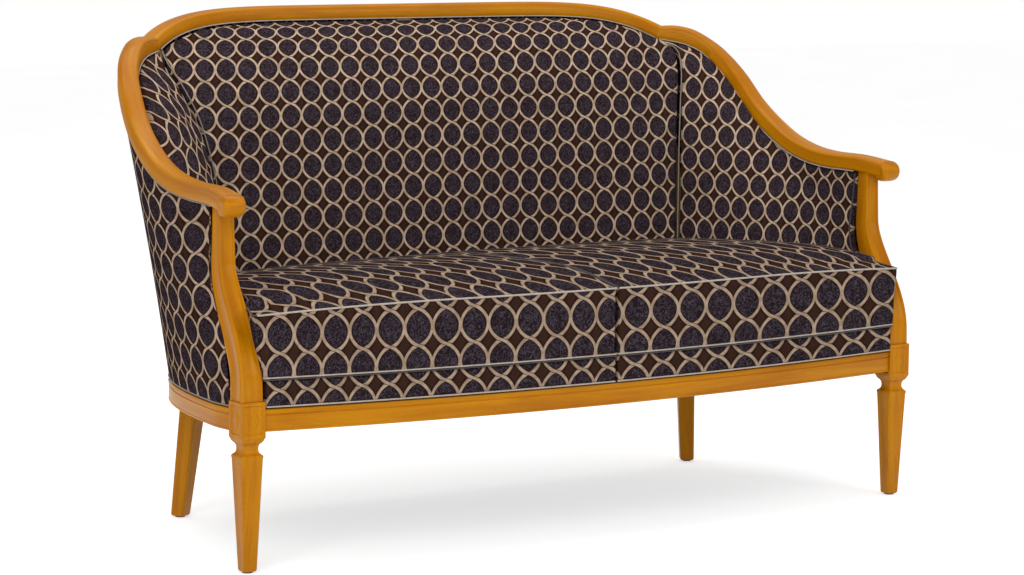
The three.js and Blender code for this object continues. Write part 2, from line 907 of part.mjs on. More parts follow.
function earUndercut() {
  const highZ = cushionEdgeZ - earRadius;
  const shape = new THREE.Shape([
    new THREE.Vector2(earLowX, railTopZ),
    new THREE.Vector2(earLowX, cushionBottomZ),
    new THREE.Vector2(earX + clothGap, highZ),
    new THREE.Vector2(earX + blockSize, highZ),
    new THREE.Vector2(earX + blockSize, railTopZ),
  ]);
  const geometry = new THREE.ExtrudeGeometry(shape, { depth: clearWidth, bevelEnabled: false });
  return mergedShape(geometry.rotateX(Math.PI / 2).translate(0, clearWidth / 2, 0));
}

function cushionSolid() {
  const outline = cushionOutline();
  const height = cushionEdgeZ - cushionBottomZ;
  const rings = [
    ...cushionSideShares.map(([scale, up]) => (
      scaledOutline(outline, scale, cushionBottomZ + up * height))),
    ...cushionCrownShares.map(([scale, up]) => (
      scaledOutline(outline, scale, cushionEdgeZ + up * cushionCrown))),
  ];
  const postInnerX = halfSpan - postFootSize / 2 - clothGap;
  const behindPost = postClearance(-1, clothGap, postInnerX);
  return cut(loft(rings), behindPost, earUndercut(), wingPadSolid(cushionGap));
}

// Arm rails with a rolled scroll at the front

function scrollSolid() {
  const half = scrollLength / 2;
  const profile = [
    new THREE.Vector2(0, -half),
    new THREE.Vector2(scrollRadius - scrollBead, -half),
    new THREE.Vector2(scrollRadius, scrollBead - half),
    new THREE.Vector2(scrollRadius, half - scrollBead),
    new THREE.Vector2(scrollRadius - scrollBead, half),
    new THREE.Vector2(0, half),
  ];
  const geometry = new THREE.LatheGeometry(profile, 24);
  geometry.rotateZ(Math.PI / 2).translate(armCurve.getPoint(0).x, scrollY, scrollZ);
  return mergedShape(geometry);
}

const armRailSolid = () => joined(armBar(0), scrollSolid());

// What carries the seat

function webbingSolid() {
  const lowZ = railTopZ + seatGap;
  const highZ = lowZ + webThickness;
  const bearing = railDepth / 2;
  const right = seatOutline((x) => frontFace(x) + bearing, bearing, clothGap);
  right[0].setX(0);
  right[right.length - 1].setX(0);
  const left = right.slice(1, -1).reverse().map((p) => plan(-p.x, p.y));
  const region = toSolid(plate([...right, ...left], lowZ, highZ));
  const strip = (width, length, x, y) => {
    const geometry = new THREE.BoxGeometry(width, length, webThickness);
    return toSolid(geometry.translate(x, y, (lowZ + highZ) / 2));
  };
  const pitch = 2 * halfSpan / webCount;
  const length = 2 * frameDepth + legSpacing;
  const along = steps(webCount - 1, 1, webCount).map((i) => (
    strip(webWidth, length, (i - (webCount + 1) / 2) * pitch, 0)));
  const crossPitch = frameDepth / (crossWebCount + 1);
  const across = steps(crossWebCount - 1, 1, crossWebCount).map((i) => (
    strip(length, webWidth, 0, i * crossPitch)));
  const lattice = [...along, ...across].reduce((sum, next) => sum.add(next)).intersect(region);
  return cut(fromSolid(lattice), ...stileRoom(seatGap));
}

function stretcherSolid() {
  const half = stretcherWidth / 2;
  const frontY = frontFace(half) + railDepth + seatGap;
  const middleY = frontFace(0) + railDepth + seatGap;
  const rearY = frameDepth - railDepth - clothGap;
  const outline = [
    plan(-half, frontY),
    plan(0, middleY + clothGap),
    plan(half, frontY),
    plan(half, rearY),
    plan(-half, rearY),
  ];
  return plate(outline, railBottomZ, railTopZ - seatGap);
}

function dustCoverSolid() {
  const highZ = railBottomZ - seatGap;
  const lowZ = highZ - dustCoverThickness;
  const face = (x) => frontFace(x) + dustCoverInset;
  const right = seatOutline(face, dustCoverInset, clothGap);
  right[0].setX(0);
  right[right.length - 1].setX(0);
  const left = right.slice(1, -1).reverse().map((p) => plan(-p.x, p.y));
  const legRoom = loft([lowZ - clothGap, highZ + clothGap].map((z) => (
    squareRing(rearLegX, rearLegY, z, rearLegTopSize + 2 * clothGap, edgeChamfer, -rearLegTurn))));
  return cut(plate([...right, ...left], lowZ, highZ), legRoom, mirrored(legRoom));
}

const frontBlockShares = [
  [0.864, -0.018],
  [0.999, -0.018],
  [0.999, 0.216],
];
const rearBlockShares = [
  [0.908, 0.713],
  [0.81, 0.883],
  [0.64, 0.942],
];

function cornerBlockSolid(shares) {
  const corners = shares.map(([across, along]) => plan(across * halfSpan, along * frameDepth));
  const lowZ = railTopZ - seatGap - cornerBlockHeight;
  const rough = plate(corners, lowZ, railTopZ - seatGap);
  const leg = loft([railBottomZ, railTopZ].map((z) => (
    squareRing(halfSpan, 0, z, blockSize + 2 * seatGap, edgeChamfer / 2))));
  const pastCorner = cornerShare + 1 / perimeterShares.length / 2;
  const sideRail = sideRailSolid(seatGap, pastCorner);
  return cut(rough, frontRailSolid(seatGap), sideRail, backRailSolid(seatGap), leg);
}

const settee = new THREE.Group();
settee.name = 'high_back_settee';

function addPair(name, geometry, finish) {
  settee.add(piece(`${name}_right`, geometry, finish()));
  settee.add(piece(`${name}_left`, mirrored(geometry), finish()));
}

addPair('front_leg', frontLegSolid(), showWood);
addPair('rear_leg', rearLegSolid(), showWood);
addPair('front_glide', glideSolid().translate(halfSpan, 0, 0), glidePlastic);
addPair(
  'rear_glide',
  glideSolid().translate(rearLegX + rearLegSplayX, rearLegY + rearLegSplayY, 0),
  glidePlastic,
);
addPair('arm_post', postSolid(), showWood);
addPair('arm_rail', armRailSolid(), showWood);
settee.add(piece('crest_rail', crestBar(0), showWood()));
settee.add(piece('front_rail', frontRailSolid(), showWood()));
addPair('side_rail', sideRailSolid(), showWood);
settee.add(piece('back_rail', backRailSolid(), showWood()));
settee.add(piece('seat_stretcher', stretcherSolid(), innerWood()));
addPair('front_corner_block', cornerBlockSolid(frontBlockShares), innerWood);
addPair('rear_corner_block', cornerBlockSolid(rearBlockShares), innerWood);
addPair('back_stile', cornerStile(0), innerWood);
settee.add(piece('back_stile_middle', middleStile(0), innerWood()));
addPair('tack_rail', tackRailSolid(), innerWood);
settee.add(piece('seat_webbing', webbingSolid(), webbing()));
settee.add(piece('dust_cover', dustCoverSolid(), dustCloth()));
addPair('seat_base', seatBaseSolid(), cloth);
addPair('seat_cushion', cushionSolid(), cloth);
settee.add(piece('back_pad', backPadSolid(), cloth()));
addPair('wing_pad', wingPadSolid(), cloth);
addPair('outer_side_cover', sideCoverSolid(), cloth);
settee.add(piece('outer_back_cover', backCoverSolid(), cloth()));

const bounds = new THREE.Box3().setFromObject(settee);
settee.position.y = -(bounds.min.y + bounds.max.y) / 2;

export default settee;
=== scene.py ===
"""High back settee: a lacquered beech show-wood frame, padded back and wings, and seat cushions.

Sizes are in millimetres until a mesh is made. The drawing's zero line runs through the middle of
the front legs, and placed() turns its points into the frame's metres.
"""

import math

import bmesh
import bpy
import numpy as np
from mathutils import Matrix, Vector
from mathutils.geometry import delaunay_2d_cdt


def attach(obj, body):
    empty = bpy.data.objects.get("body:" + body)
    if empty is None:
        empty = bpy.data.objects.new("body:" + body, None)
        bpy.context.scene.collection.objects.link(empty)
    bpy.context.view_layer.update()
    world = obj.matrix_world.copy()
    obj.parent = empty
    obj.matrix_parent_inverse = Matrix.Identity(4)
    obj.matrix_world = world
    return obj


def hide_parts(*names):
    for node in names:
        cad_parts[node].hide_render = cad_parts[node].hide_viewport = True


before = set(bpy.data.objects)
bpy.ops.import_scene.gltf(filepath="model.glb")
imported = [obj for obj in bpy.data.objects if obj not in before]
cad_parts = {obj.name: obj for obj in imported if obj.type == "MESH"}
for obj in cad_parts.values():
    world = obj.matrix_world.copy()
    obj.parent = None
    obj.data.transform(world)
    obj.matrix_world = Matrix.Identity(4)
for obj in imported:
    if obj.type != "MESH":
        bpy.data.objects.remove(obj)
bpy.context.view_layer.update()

MM = 0.001
SIDES = (("right", 1), ("left", -1))
FOOTPRINT_SHIFT = 319.5  # the drawing's zero line runs through the front legs, this far before the middle

# Sizes in millimetres, as the joiner's drawing gives them
CLOTH_GAP = 1.0
CUSHION_GAP = 3.0
HALF_SPAN = 741.0
BLOCK_SIZE = 49.0
BLOCK_TOP = 311.0
BLOCK_BOTTOM = 246.0
SIDE_X = HALF_SPAN + BLOCK_SIZE / 2
INNER_BLOCK_X = HALF_SPAN - BLOCK_SIZE / 2
BLOCK_REAR = BLOCK_SIZE / 2
RAIL_BOTTOM = 256.0
RAIL_HEIGHT = 41.0
RAIL_TOP = RAIL_BOTTOM + RAIL_HEIGHT
RAIL_DEPTH = 32.0
FRAME_DEPTH = 555.0
CLOTH_BOTTOM = 299.6
ARM_Z = 670.0
ARM_SIZE = (46.0, 32.0)
CREST_SIZE = (38.0, 28.0)
CREST_Y = 707.0
CREST_Z = 967.0
NOTCH_SETBACK = 66.0
NOTCH_DROP = 52.0
POST_TOP = 654.0
POST_TOP_Y = 89.0
POST_SHARE = 0.06  # where the middle of the post meets the arm
PAD_BOTTOM = 350.0
PAD_EDGE = 2.0
COVER_EDGE = 5.0
WING_CROWN = 12.0
CUSHION_BOTTOM = 350.0
CUSHION_EDGE = 475.0
CUSHION_CROWN = 30.0

ARM_LINE = [
    (1.012, -0.083, -0.03), (1.0, 0.034, -0.003), (0.993, 0.18, 0.003), (0.993, 0.293, 0.03),
    (0.992, 0.398, 0.091), (0.988, 0.503, 0.202), (0.981, 0.589, 0.33), (0.969, 0.67, 0.505),
    (0.953, 0.727, 0.623), (0.93, 0.775, 0.717), (0.892, 0.825, 0.781), (0.85, 0.866, 0.811),
    (0.818, 0.893, 0.825),
]
SEAT_OUTLINE = [
    (0.998, 0.0), (1.003, 0.086), (0.998, 0.18), (0.989, 0.284), (0.976, 0.397), (0.96, 0.5),
    (0.937, 0.604), (0.903, 0.717), (0.856, 0.821), (0.797, 0.906), (0.732, 0.957),
    (0.653, 0.981), (0.523, 0.992), (0.261, 0.998), (0.0, 1.0),
]
CORNER_SHARE = 9 / 14
WING_SEAM = [
    (0.694, 0.558, 0.0), (0.711, 0.584, 0.186), (0.73, 0.615, 0.365), (0.75, 0.647, 0.551),
    (0.773, 0.681, 0.689), (0.804, 0.731, 0.797), (0.82, 0.786, 0.859),
]
BACK_LINE = [
    (0.592, 0.0), (0.629, 0.194), (0.654, 0.381), (0.682, 0.575), (0.714, 0.737), (0.768, 0.867),
    (0.848, 0.94),
]
NOTCH_X = ARM_LINE[-1][0] * HALF_SPAN


def smooth(share):
    t = np.clip(share, 0, 1)
    return t * t * (3 - 2 * t)


def lerp(a, b, t):
    return a + (b - a) * t


def unit(v):
    return v / np.linalg.norm(v, axis=-1, keepdims=True)


def sideways(way):
    """The level direction to the right of each way."""
    return unit(np.stack([way[:, 1], -way[:, 0], np.zeros(len(way))], -1))


def run_along(line):
    """The distance travelled at each point of a line, or of each row of a patch."""
    steps = np.linalg.norm(np.diff(line, axis=-2), axis=-1)
    return np.concatenate([np.zeros_like(steps[..., :1]), np.cumsum(steps, axis=-1)], -1)


class GuideCurve:
    """A smooth line through a maker's points, from share 0 to share 1."""

    def __init__(self, points):
        p = np.asarray(points, float)
        self.points = np.vstack([2 * p[0] - p[1], p, 2 * p[-1] - p[-2]])

    def at(self, share):
        share = np.atleast_1d(np.asarray(share, float))
        spans = len(self.points) - 3
        along = np.clip(share, 0, 1) * spans
        i = np.minimum(along.astype(int), spans - 1)
        w = (along - i)[:, None]
        a, b, c, d = (self.points[i + k] for k in range(4))
        gap = [np.sqrt(np.linalg.norm(q - p, axis=1))[:, None] for p, q in ((a, b), (b, c), (c, d))]
        start = ((b - a) / gap[0] - (c - a) / (gap[0] + gap[1]) + (c - b) / gap[1]) * gap[1]
        end = ((c - b) / gap[1] - (d - b) / (gap[1] + gap[2]) + (d - c) / gap[2]) * gap[1]
        return b + start * w + (3 * (c - b) - 2 * start - end) * w**2 + (2 * (b - c) + start + end) * w**3

    def way(self, share, reach=1e-4):
        share = np.atleast_1d(np.asarray(share, float))
        return unit(self.at(np.minimum(share + reach, 1)) - self.at(np.maximum(share - reach, 0)))


def crest_point(share):
    reach = np.abs(share)
    y, z = CREST_Y - NOTCH_SETBACK * reach**6, CREST_Z - NOTCH_DROP * reach**7
    return np.stack([share * NOTCH_X, y, z], -1)


def upright(points, low_z):
    """Points given as shares of the half span, of the way back to the crest and of the rise to it."""
    x, y, z = np.asarray(points, float).T
    return np.stack([x * HALF_SPAN, lerp(POST_TOP_Y, CREST_Y, y), lerp(low_z, CREST_Z, z)], -1)


arm_curve = GuideCurve(upright(ARM_LINE, ARM_Z))
crest_curve = GuideCurve(crest_point(np.sin((0.5 - np.arange(39) / 38) * math.pi)))
outline_curve = GuideCurve([(x * SIDE_X, lerp(BLOCK_REAR, FRAME_DEPTH, y), 0) for x, y in SEAT_OUTLINE])


def stations(curve, shares):
    """Points along a rail, with its outward and upward directions there."""
    point = curve.at(shares)
    way = curve.way(shares)
    out = sideways(way)
    return point, out, unit(np.cross(out, way))


def arm_stations(shares):
    """The arm turns into the crest rail's direction where they meet."""
    shares = np.atleast_1d(np.asarray(shares, float))
    point, out, up = stations(arm_curve, shares)
    _, crest_out, crest_up = stations(crest_curve, [0.0])
    turn = smooth((shares - 0.97) / 0.03)[:, None]
    return point, unit(lerp(out, crest_out, turn)), unit(lerp(up, crest_up, turn))


def arm_size(shares):
    t = smooth(np.atleast_1d(shares))
    return lerp(ARM_SIZE[0], CREST_SIZE[0], t), lerp(ARM_SIZE[1], CREST_SIZE[1], t)


def outline(shares, inset=0.0):
    point = outline_curve.at(shares)
    way = outline_curve.way(shares)
    inset = np.broadcast_to(inset, len(point))[:, None]
    return point - sideways(way) * inset


def bow(x, edge, depth):
    return edge - depth * (1 - (x / INNER_BLOCK_X) ** 2)


def rail_face(x):
    return bow(x, -20.0, 60.0)


def band_face(x):
    return bow(x, -22.0, 62.0)


def cushion_face(x):
    return band_face(x) - CUSHION_GAP


def under_rail(here, width, height, side, inset, gap=CLOTH_GAP):
    point, out, up = here
    width, height = np.atleast_1d(width)[:, None], np.atleast_1d(height)[:, None]
    return point + out * side * (width / 2 - inset) - up * (height / 2 + gap)


def outer_side(share, rise, depth):
    share, rise = np.atleast_1d(share), np.atleast_1d(rise)
    at = lerp(POST_SHARE, 1, np.maximum(share, 0))
    top = under_rail(arm_stations(at), *arm_size(at), 1, COVER_EDGE + depth)
    base = outline(np.maximum(share, 0) * CORNER_SHARE, 1 + depth)
    base[:, 2] = CLOTH_BOTTOM
    return lerp(base, top, rise[:, None])


def outer_back(share, rise, depth):
    share, rise = np.atleast_1d(share), np.atleast_1d(rise)
    reach = np.abs(share)
    base = outline(lerp(1, CORNER_SHARE, reach), 1 + depth)
    base[:, 2] = CLOTH_BOTTOM
    at = np.arccos(np.clip(reach, 0, 1)) / math.pi
    top = under_rail(stations(crest_curve, at), *CREST_SIZE, 1, COVER_EDGE + depth)
    point = lerp(base, top, rise[:, None])
    point[:, 0] *= np.where(share < 0, -1, 1)
    return point


seam_top = under_rail(stations(crest_curve, [0.0]), *CREST_SIZE, -1, PAD_EDGE)
seam_curve = GuideCurve(np.vstack([upright(WING_SEAM, PAD_BOTTOM), seam_top]))
crest_middle = under_rail(stations(crest_curve, [0.5]), *CREST_SIZE, -1, PAD_EDGE)
back_line = GuideCurve(np.vstack([upright([(0, y, z) for y, z in BACK_LINE], PAD_BOTTOM), crest_middle]))


def inner_back(share, rise):
    share, rise = np.atleast_1d(share), np.atleast_1d(rise)
    seam, middle = seam_curve.at(rise), back_line.at(rise)
    reach = np.abs(share)
    power = lerp(2.0, 6.0, rise)
    return np.stack([
        seam[:, 0] * share,
        lerp(middle[:, 1], seam[:, 1], reach**power),
        lerp(middle[:, 2], seam[:, 2], reach**7.0),
    ], -1)


def wing_top(share):
    at = lerp(POST_SHARE, 1, np.atleast_1d(share))
    return under_rail(arm_stations(at), *arm_size(at), -1, PAD_EDGE)


wing_foot = np.array([HALF_SPAN - 22.5, 5.0, PAD_BOTTOM])
wing_line = seam_curve.at(0)[0] - wing_foot
wing_inward = unit(np.array([-wing_line[1], wing_line[0], 0.0]))


def inner_wing(share, rise):
    """Surface of a wing between the post, the seam, the seat and the arm, swelling towards the seat."""
    share, rise = np.atleast_1d(share), np.atleast_1d(rise)
    s, r = share[:, None], rise[:, None]
    low = lerp(wing_foot, seam_curve.at(0), s)
    front = lerp(wing_foot, wing_top(0), r)
    corners = lerp(low, lerp(wing_top(0), seam_top, s), r)
    point = lerp(low, wing_top(share), r) + lerp(front, seam_curve.at(rise), s) - corners
    swell = WING_CROWN * np.sin(math.pi * share) * np.sin(math.pi * rise)
    return point + wing_inward * swell[:, None]


def post_y(z):
    """Where the middle of the swept post stands at a height."""
    return 2 + 87 * smooth((z - 340) / 215)


def post_size(z):
    share = (z - BLOCK_TOP) / (POST_TOP - BLOCK_TOP)
    return lerp(45.0, 32.0, smooth(share)), lerp(45.0, 28.0, share)


# Meshes

def placed(points):
    return (np.asarray(points, float) - (0, FOOTPRINT_SHIFT, 0)) * MM


def add_object(name, data):
    added = bpy.data.objects.new(name, data)
    bpy.context.scene.collection.objects.link(added)
    return added


def add_piece(name, mesh, crease):
    """A visible piece of the settee, smooth but for edges sharper than its crease in degrees."""
    piece = add_object(name, mesh)
    mesh.shade_smooth()
    if crease:
        mesh.set_sharp_from_angle(angle=math.radians(crease))
    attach(piece, "root")
    return piece


def make_piece(name, points, faces, finish, grain=None, weave=None, crease=None, outward=True):
    """A mesh from the drawing's points. Grain goes on its points and weave on its face corners, in metres."""
    mesh = bpy.data.meshes.new(name)
    mesh.from_pydata(placed(points).tolist(), [], [[int(i) for i in f] for f in faces])
    for label, domain, values in (("grain", "POINT", grain), ("weave", "CORNER", weave)):
        if values is not None:
            run = mesh.attributes.new(label, "FLOAT_VECTOR", domain)
            run.data.foreach_set("vector", (np.asarray(values, float) * MM).ravel())
    if outward:
        face_outward(mesh)
    mesh.materials.append(finish)
    return add_piece(name, mesh, crease)


def face_outward(mesh):
    bm = bmesh.new()
    bm.from_mesh(mesh)
    bmesh.ops.recalc_face_normals(bm, faces=bm.faces)
    bm.to_mesh(mesh)
    bm.free()


def face_corners(faces):
    return np.concatenate([list(f) for f in faces])


def ring_faces(rings, around, caps=True):
    """Faces between closed rings of points, and over the two end rings."""
    faces = [
        (r * around + i, r * around + (i + 1) % around,
         (r + 1) * around + (i + 1) % around, (r + 1) * around + i)
        for r in range(rings - 1) for i in range(around)
    ]
    if caps:
        faces += [tuple(range(around))[::-1], tuple((rings - 1) * around + i for i in range(around))]
    return faces


def wooden_pair(name, points, faces, replaced, grain, crease):
    """A right-hand piece of show wood and its mirror image on the left."""
    for side, sign in SIDES:
        own = points * (sign, 1, 1)
        piece = make_piece(f"{name}_{side}", own, faces, show_beech, grain=grain, crease=crease)
        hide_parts(f"{replaced}_{side}")


# Nodes

def join(tree, value, socket):
    """Gives a socket a link or a plain value."""
    if isinstance(value, bpy.types.NodeSocket):
        tree.links.new(value, socket)
    else:
        socket.default_value = value


def wire(tree, kind, inputs=(), **settings):
    """Adds a node to a tree, with its settings and with what its inputs take."""
    node = tree.nodes.new(kind)
    for setting, value in settings.items():
        setattr(node, setting, value)
    for key, value in dict(inputs).items():
        join(tree, value, node.inputs[key])
    return node


# Finishes

class Finish:
    """Builds a material's nodes, and sets its shader's own sockets."""

    def __init__(self, name, **sockets):
        self.material = bpy.data.materials.new(name)
        self.material.use_nodes = True
        self.tree = self.material.node_tree
        self.shader = self.tree.nodes["Principled BSDF"]
        for socket, value in sockets.items():
            self.shader.inputs[socket.replace("_", " ")].default_value = value

    def node(self, kind, inputs=(), **settings):
        return wire(self.tree, kind, inputs, **settings)

    def math(self, operation, *values):
        return self.node("ShaderNodeMath", enumerate(values), operation=operation).outputs[0]

    def times(self, *values):
        return self.math("MULTIPLY", *values)

    def plus(self, *values):
        return self.math("ADD", *values)

    def waves(self, value, pitch):
        return self.math("SINE", self.times(value, 2 * math.pi / pitch))

    def attribute(self, name):
        return self.node("ShaderNodeAttribute", attribute_name=name).outputs["Vector"]

    def object_place(self):
        return self.node("ShaderNodeTexCoord").outputs["Object"]

    def stretched(self, place, scale):
        return self.node("ShaderNodeMapping", {"Vector": place, "Scale": scale}).outputs[0]

    def parts(self, vector):
        return self.node("ShaderNodeSeparateXYZ", {0: vector}).outputs

    def noise(self, place, scale, detail=2.0, roughness=0.5, distortion=0.0):
        return self.node("ShaderNodeTexNoise", {
            "Vector": place, "Scale": scale, "Detail": detail, "Roughness": roughness,
            "Distortion": distortion,
        }).outputs[0]

    def scale(self, value, low, high, to_low=0.0, to_high=1.0, **settings):
        """Carries the range from low to high over to another range."""
        inputs = {0: value, 1: low, 2: high, 3: to_low, 4: to_high}
        return self.node("ShaderNodeMapRange", inputs, **settings).outputs[0]

    def step(self, *ranges):
        """The same with soft ends."""
        return self.scale(*ranges, interpolation_type="SMOOTHSTEP")

    def blend(self, share, first, second):
        return self.node("ShaderNodeMix", {0: share, 6: first, 7: second}, data_type="RGBA").outputs[2]

    def bump(self, height, distance, strength):
        return self.node("ShaderNodeBump", {
            "Height": height, "Distance": distance, "Strength": strength,
        }).outputs[0]

    def done(self, **links):
        for socket, value in links.items():
            join(self.tree, value, self.shader.inputs[socket.replace("_", " ")])
        return self.material


def tone(red, green, blue):
    """A colour written as it is seen, from 0 to 255."""
    seen = np.array([red, green, blue]) / 255
    return (*np.where(seen <= 0.04045, seen / 12.92, ((seen + 0.055) / 1.055) ** 2.4), 1.0)


AMBER = (1.0, 0.66, 0.2, 1.0)
FLECK_BROWN = tone(122, 66, 2)


def lacquered_beech(name, place_of, light, dark, gloss):
    """Beech under a honey lacquer: long soft figure, short pores and flecks, and a clear top coat."""
    finish = Finish(
        name, Roughness=0.42, Specular_IOR_Level=0.25, Specular_Tint=AMBER, Coat_Weight=gloss,
        Coat_Roughness=0.14, Coat_IOR=1.45, Coat_Tint=AMBER)
    place = place_of(finish)
    figure = finish.noise(finish.stretched(place, (3.0, 40.0, 40.0)), 1.0, 4.0, 0.6, 0.6)
    streaks = finish.noise(finish.stretched(place, (9.0, 420.0, 420.0)), 1.0, 3.0, 0.6)
    flecks = finish.noise(finish.stretched(place, (190.0, 1500.0, 1500.0)), 1.0, 1.0)
    cloudy = finish.noise(place, 7.0, 2.0)
    colour = finish.blend(finish.step(figure, 0.32, 0.7), light, dark)
    colour = finish.blend(finish.step(streaks, 0.45, 0.75, 0.0, 0.35), colour, dark)
    colour = finish.blend(finish.step(flecks, 0.6, 0.72, 0.0, 0.45), colour, FLECK_BROWN)
    colour = finish.blend(finish.step(cloudy, 0.35, 0.7, 0.0, 0.25), colour, light)
    height = finish.plus(finish.times(streaks, 0.6), finish.times(flecks, -0.5))
    roughness = finish.scale(cloudy, 0.2, 0.8, 0.36, 0.48)
    return finish.done(Base_Color=colour, Roughness=roughness, Normal=finish.bump(height, 0.0003, 0.25))


def wavy_band_jacquard(name, column, row, wear_and_painted_shade=1.0, rose_lift=0.0):
    """Wavy bands cross one over the other between upright rows of dark ovals. Sizes are in metres."""
    finish = Finish(name, Roughness=0.75, Specular_IOR_Level=0.0)
    weave = finish.attribute("weave")
    along, up, _ = finish.parts(weave)
    columns = finish.math("DIVIDE", along, column)
    across = finish.times(finish.math("SUBTRACT", columns, finish.math("ROUND", columns)), column)
    angle = finish.times(up, math.pi / row)
    turn, lean = finish.math("COSINE", angle), finish.math("SINE", angle)
    side = finish.math("SIGN", lean)
    square = finish.times(turn, turn)
    level = finish.math("DIVIDE", finish.plus(square, BAND_EASE), 1 + BAND_EASE)

    def band_distance(roundness, direction):
        """How far a point is from a band's middle line. More roundness makes it cross flatter."""
        swell = finish.times(finish.math("POWER", level, -roundness), BAND_REACH * column)
        reach = finish.times(finish.times(turn, swell), side)
        fall = finish.math("DIVIDE", square, finish.plus(square, BAND_EASE))
        fall = finish.math("MULTIPLY_ADD", fall, -2 * roundness, 1.0)
        slope = finish.times(finish.times(fall, swell), math.pi / row)
        slope = finish.times(slope, lean)
        away = finish.math("MULTIPLY_ADD", reach, direction, across)
        longer = finish.math("SQRT", finish.math("MULTIPLY_ADD", slope, slope, 1.0))
        away = finish.math("DIVIDE", finish.math("ABSOLUTE", away), longer)
        return away, reach

    over, reach = band_distance(OVER_ROUNDNESS, -1.0)
    under, _ = band_distance(UNDER_ROUNDNESS, 1.0)
    half = BAND_WIDTH * column / 2
    soft = EDGE_SOFTNESS
    over_band = finish.step(over, half + soft, half - soft)
    clear_of_over = finish.step(over, half + BAND_CLEARANCE, half + BAND_CLEARANCE + 2 * soft)
    under_band = finish.times(finish.step(under, half + soft, half - soft), clear_of_over)
    band = finish.math("MAXIMUM", over_band, under_band)
    nearest = finish.math("MINIMUM", over, under)
    inside = finish.math("SUBTRACT", finish.math("ABSOLUTE", reach), finish.math("ABSOLUTE", across))
    inside = finish.step(inside, 0.0, 0.001)

    ribs = finish.noise(finish.stretched(weave, (260.0, 900.0, 1.0)), 1.0, 2.0)
    mottle = finish.noise(weave, 60.0, 3.0, 0.6)
    curl_scale = CURLS_ACROSS / column
    curls = finish.noise(finish.stretched(weave, (curl_scale, curl_scale, 1.0)), 1.0, 1.0, 0.5, 1.4)
    curl_line = finish.step(finish.math("ABSOLUTE", finish.math("SUBTRACT", curls, 0.5)), 0.06, 0.015)
    blotches = finish.noise(finish.stretched(weave, (520.0, 420.0, 1.0)), 1.0, 2.0, 0.5, 1.2)
    threads = finish.times(finish.waves(along, THREAD_PITCH), finish.waves(up, THREAD_PITCH))

    ground = finish.blend(inside, DIAMOND_GROUND, OVAL_GROUND)
    curl_share = finish.times(curl_line, finish.scale(inside, 0.0, 1.0, 0.3, 0.7))
    ground = finish.blend(curl_share, ground, finish.blend(inside, SWIRL_ROSE, SWIRL_BLUE))
    ground = finish.blend(finish.step(blotches, 0.55, 0.72, 0.0, 0.3), ground, SWIRL_ROSE)
    # Mixes the ground a little towards the rose colour, which makes it paler
    ground = finish.blend(rose_lift, ground, SWIRL_ROSE)
    # Painted shade: the ground darkens just outside each band's edge
    ground = finish.blend(finish.step(nearest, half + 0.004, half + 0.0006, 0.0, 0.8), ground, BAND_SHADE)
    tan = finish.blend(finish.step(mottle, 0.35, 0.65), BAND_TAN, BAND_PALE)
    tan = finish.blend(finish.step(ribs, 0.45, 0.7, 0.0, 0.4), tan, BAND_BROWN)
    # Painted shade: each band darkens towards its edges, which leaves its middle lighter
    tan = finish.blend(finish.step(nearest, half * 0.45, half, 0.0, 0.35), tan, BAND_BROWN)
    # Below 1 this share darkens the bands towards BAND_SHADE: painted shade for the seat's dimmer light
    tan = finish.blend(1 - wear_and_painted_shade, tan, BAND_SHADE)
    colour = finish.blend(band, ground, tan)
    # Painted shade in the gaps between threads
    colour = finish.blend(finish.scale(threads, -1.0, 1.0, 0.12, 0.0), colour, THREAD_GAP_SHADE)
    height = finish.plus(finish.times(band, 0.5), finish.times(threads, 0.25))
    height = finish.plus(height, finish.times(ribs, 0.35))
    return finish.done(Base_Color=colour, Normal=finish.bump(height, 0.0006, 0.5))


BAND_REACH = 0.485
BAND_WIDTH = 0.1
BAND_EASE = 0.02
OVER_ROUNDNESS, UNDER_ROUNDNESS = 0.17, 0.22
CURLS_ACROSS = 6.5
EDGE_SOFTNESS = 0.0005
BAND_CLEARANCE = 0.0009
THREAD_PITCH = 0.0011
THREAD_GAP_SHADE = tone(12, 8, 8)
OVAL_GROUND = tone(38, 30, 33)
DIAMOND_GROUND = tone(56, 37, 27)
SWIRL_BLUE = tone(88, 80, 92)
SWIRL_ROSE = tone(80, 50, 54)
BAND_SHADE = tone(30, 20, 18)
BAND_TAN = tone(174, 149, 126)
BAND_PALE = tone(208, 182, 158)
BAND_BROWN = tone(140, 112, 88)
TWIST_PITCH = 2 * math.pi / 2200


def twisted_piping(name, pale, dark):
    finish = Finish(name, Roughness=0.6, Sheen_Weight=0.3, Sheen_Roughness=0.4)
    run = finish.attribute("run")
    twist = finish.waves(finish.parts(run)[0], TWIST_PITCH)
    # Painted shade: the cord darkens in the grooves of its twist; the noise below is the cord's own mottled
    # tone
    colour = finish.blend(finish.step(twist, -0.2, -0.9, 0.0, 0.5), pale, dark)
    colour = finish.blend(finish.step(finish.noise(run, 60.0, 3.0), 0.4, 0.75, 0.0, 0.35), colour, dark)
    return finish.done(Base_Color=colour, Normal=finish.bump(twist, 0.0003, 0.5))


def plain_cloth(name, warp, weft, pitch):
    """Plain woven cloth, with a warp and a weft tone, in Object coordinates."""
    finish = Finish(name, Roughness=0.85, Sheen_Weight=0.15)
    place = finish.object_place()
    x, y, _ = finish.parts(place)
    weave = finish.times(finish.waves(x, pitch), finish.waves(y, pitch))
    wear_and_painted_shade = finish.noise(place, 25.0, 3.0)
    colour = finish.blend(finish.scale(weave, -1.0, 1.0), warp, weft)
    colour = finish.blend(finish.step(wear_and_painted_shade, 0.4, 0.7, 0.0, 0.3), colour, warp)
    return finish.done(Base_Color=colour, Normal=finish.bump(weave, 0.0004, 0.5))


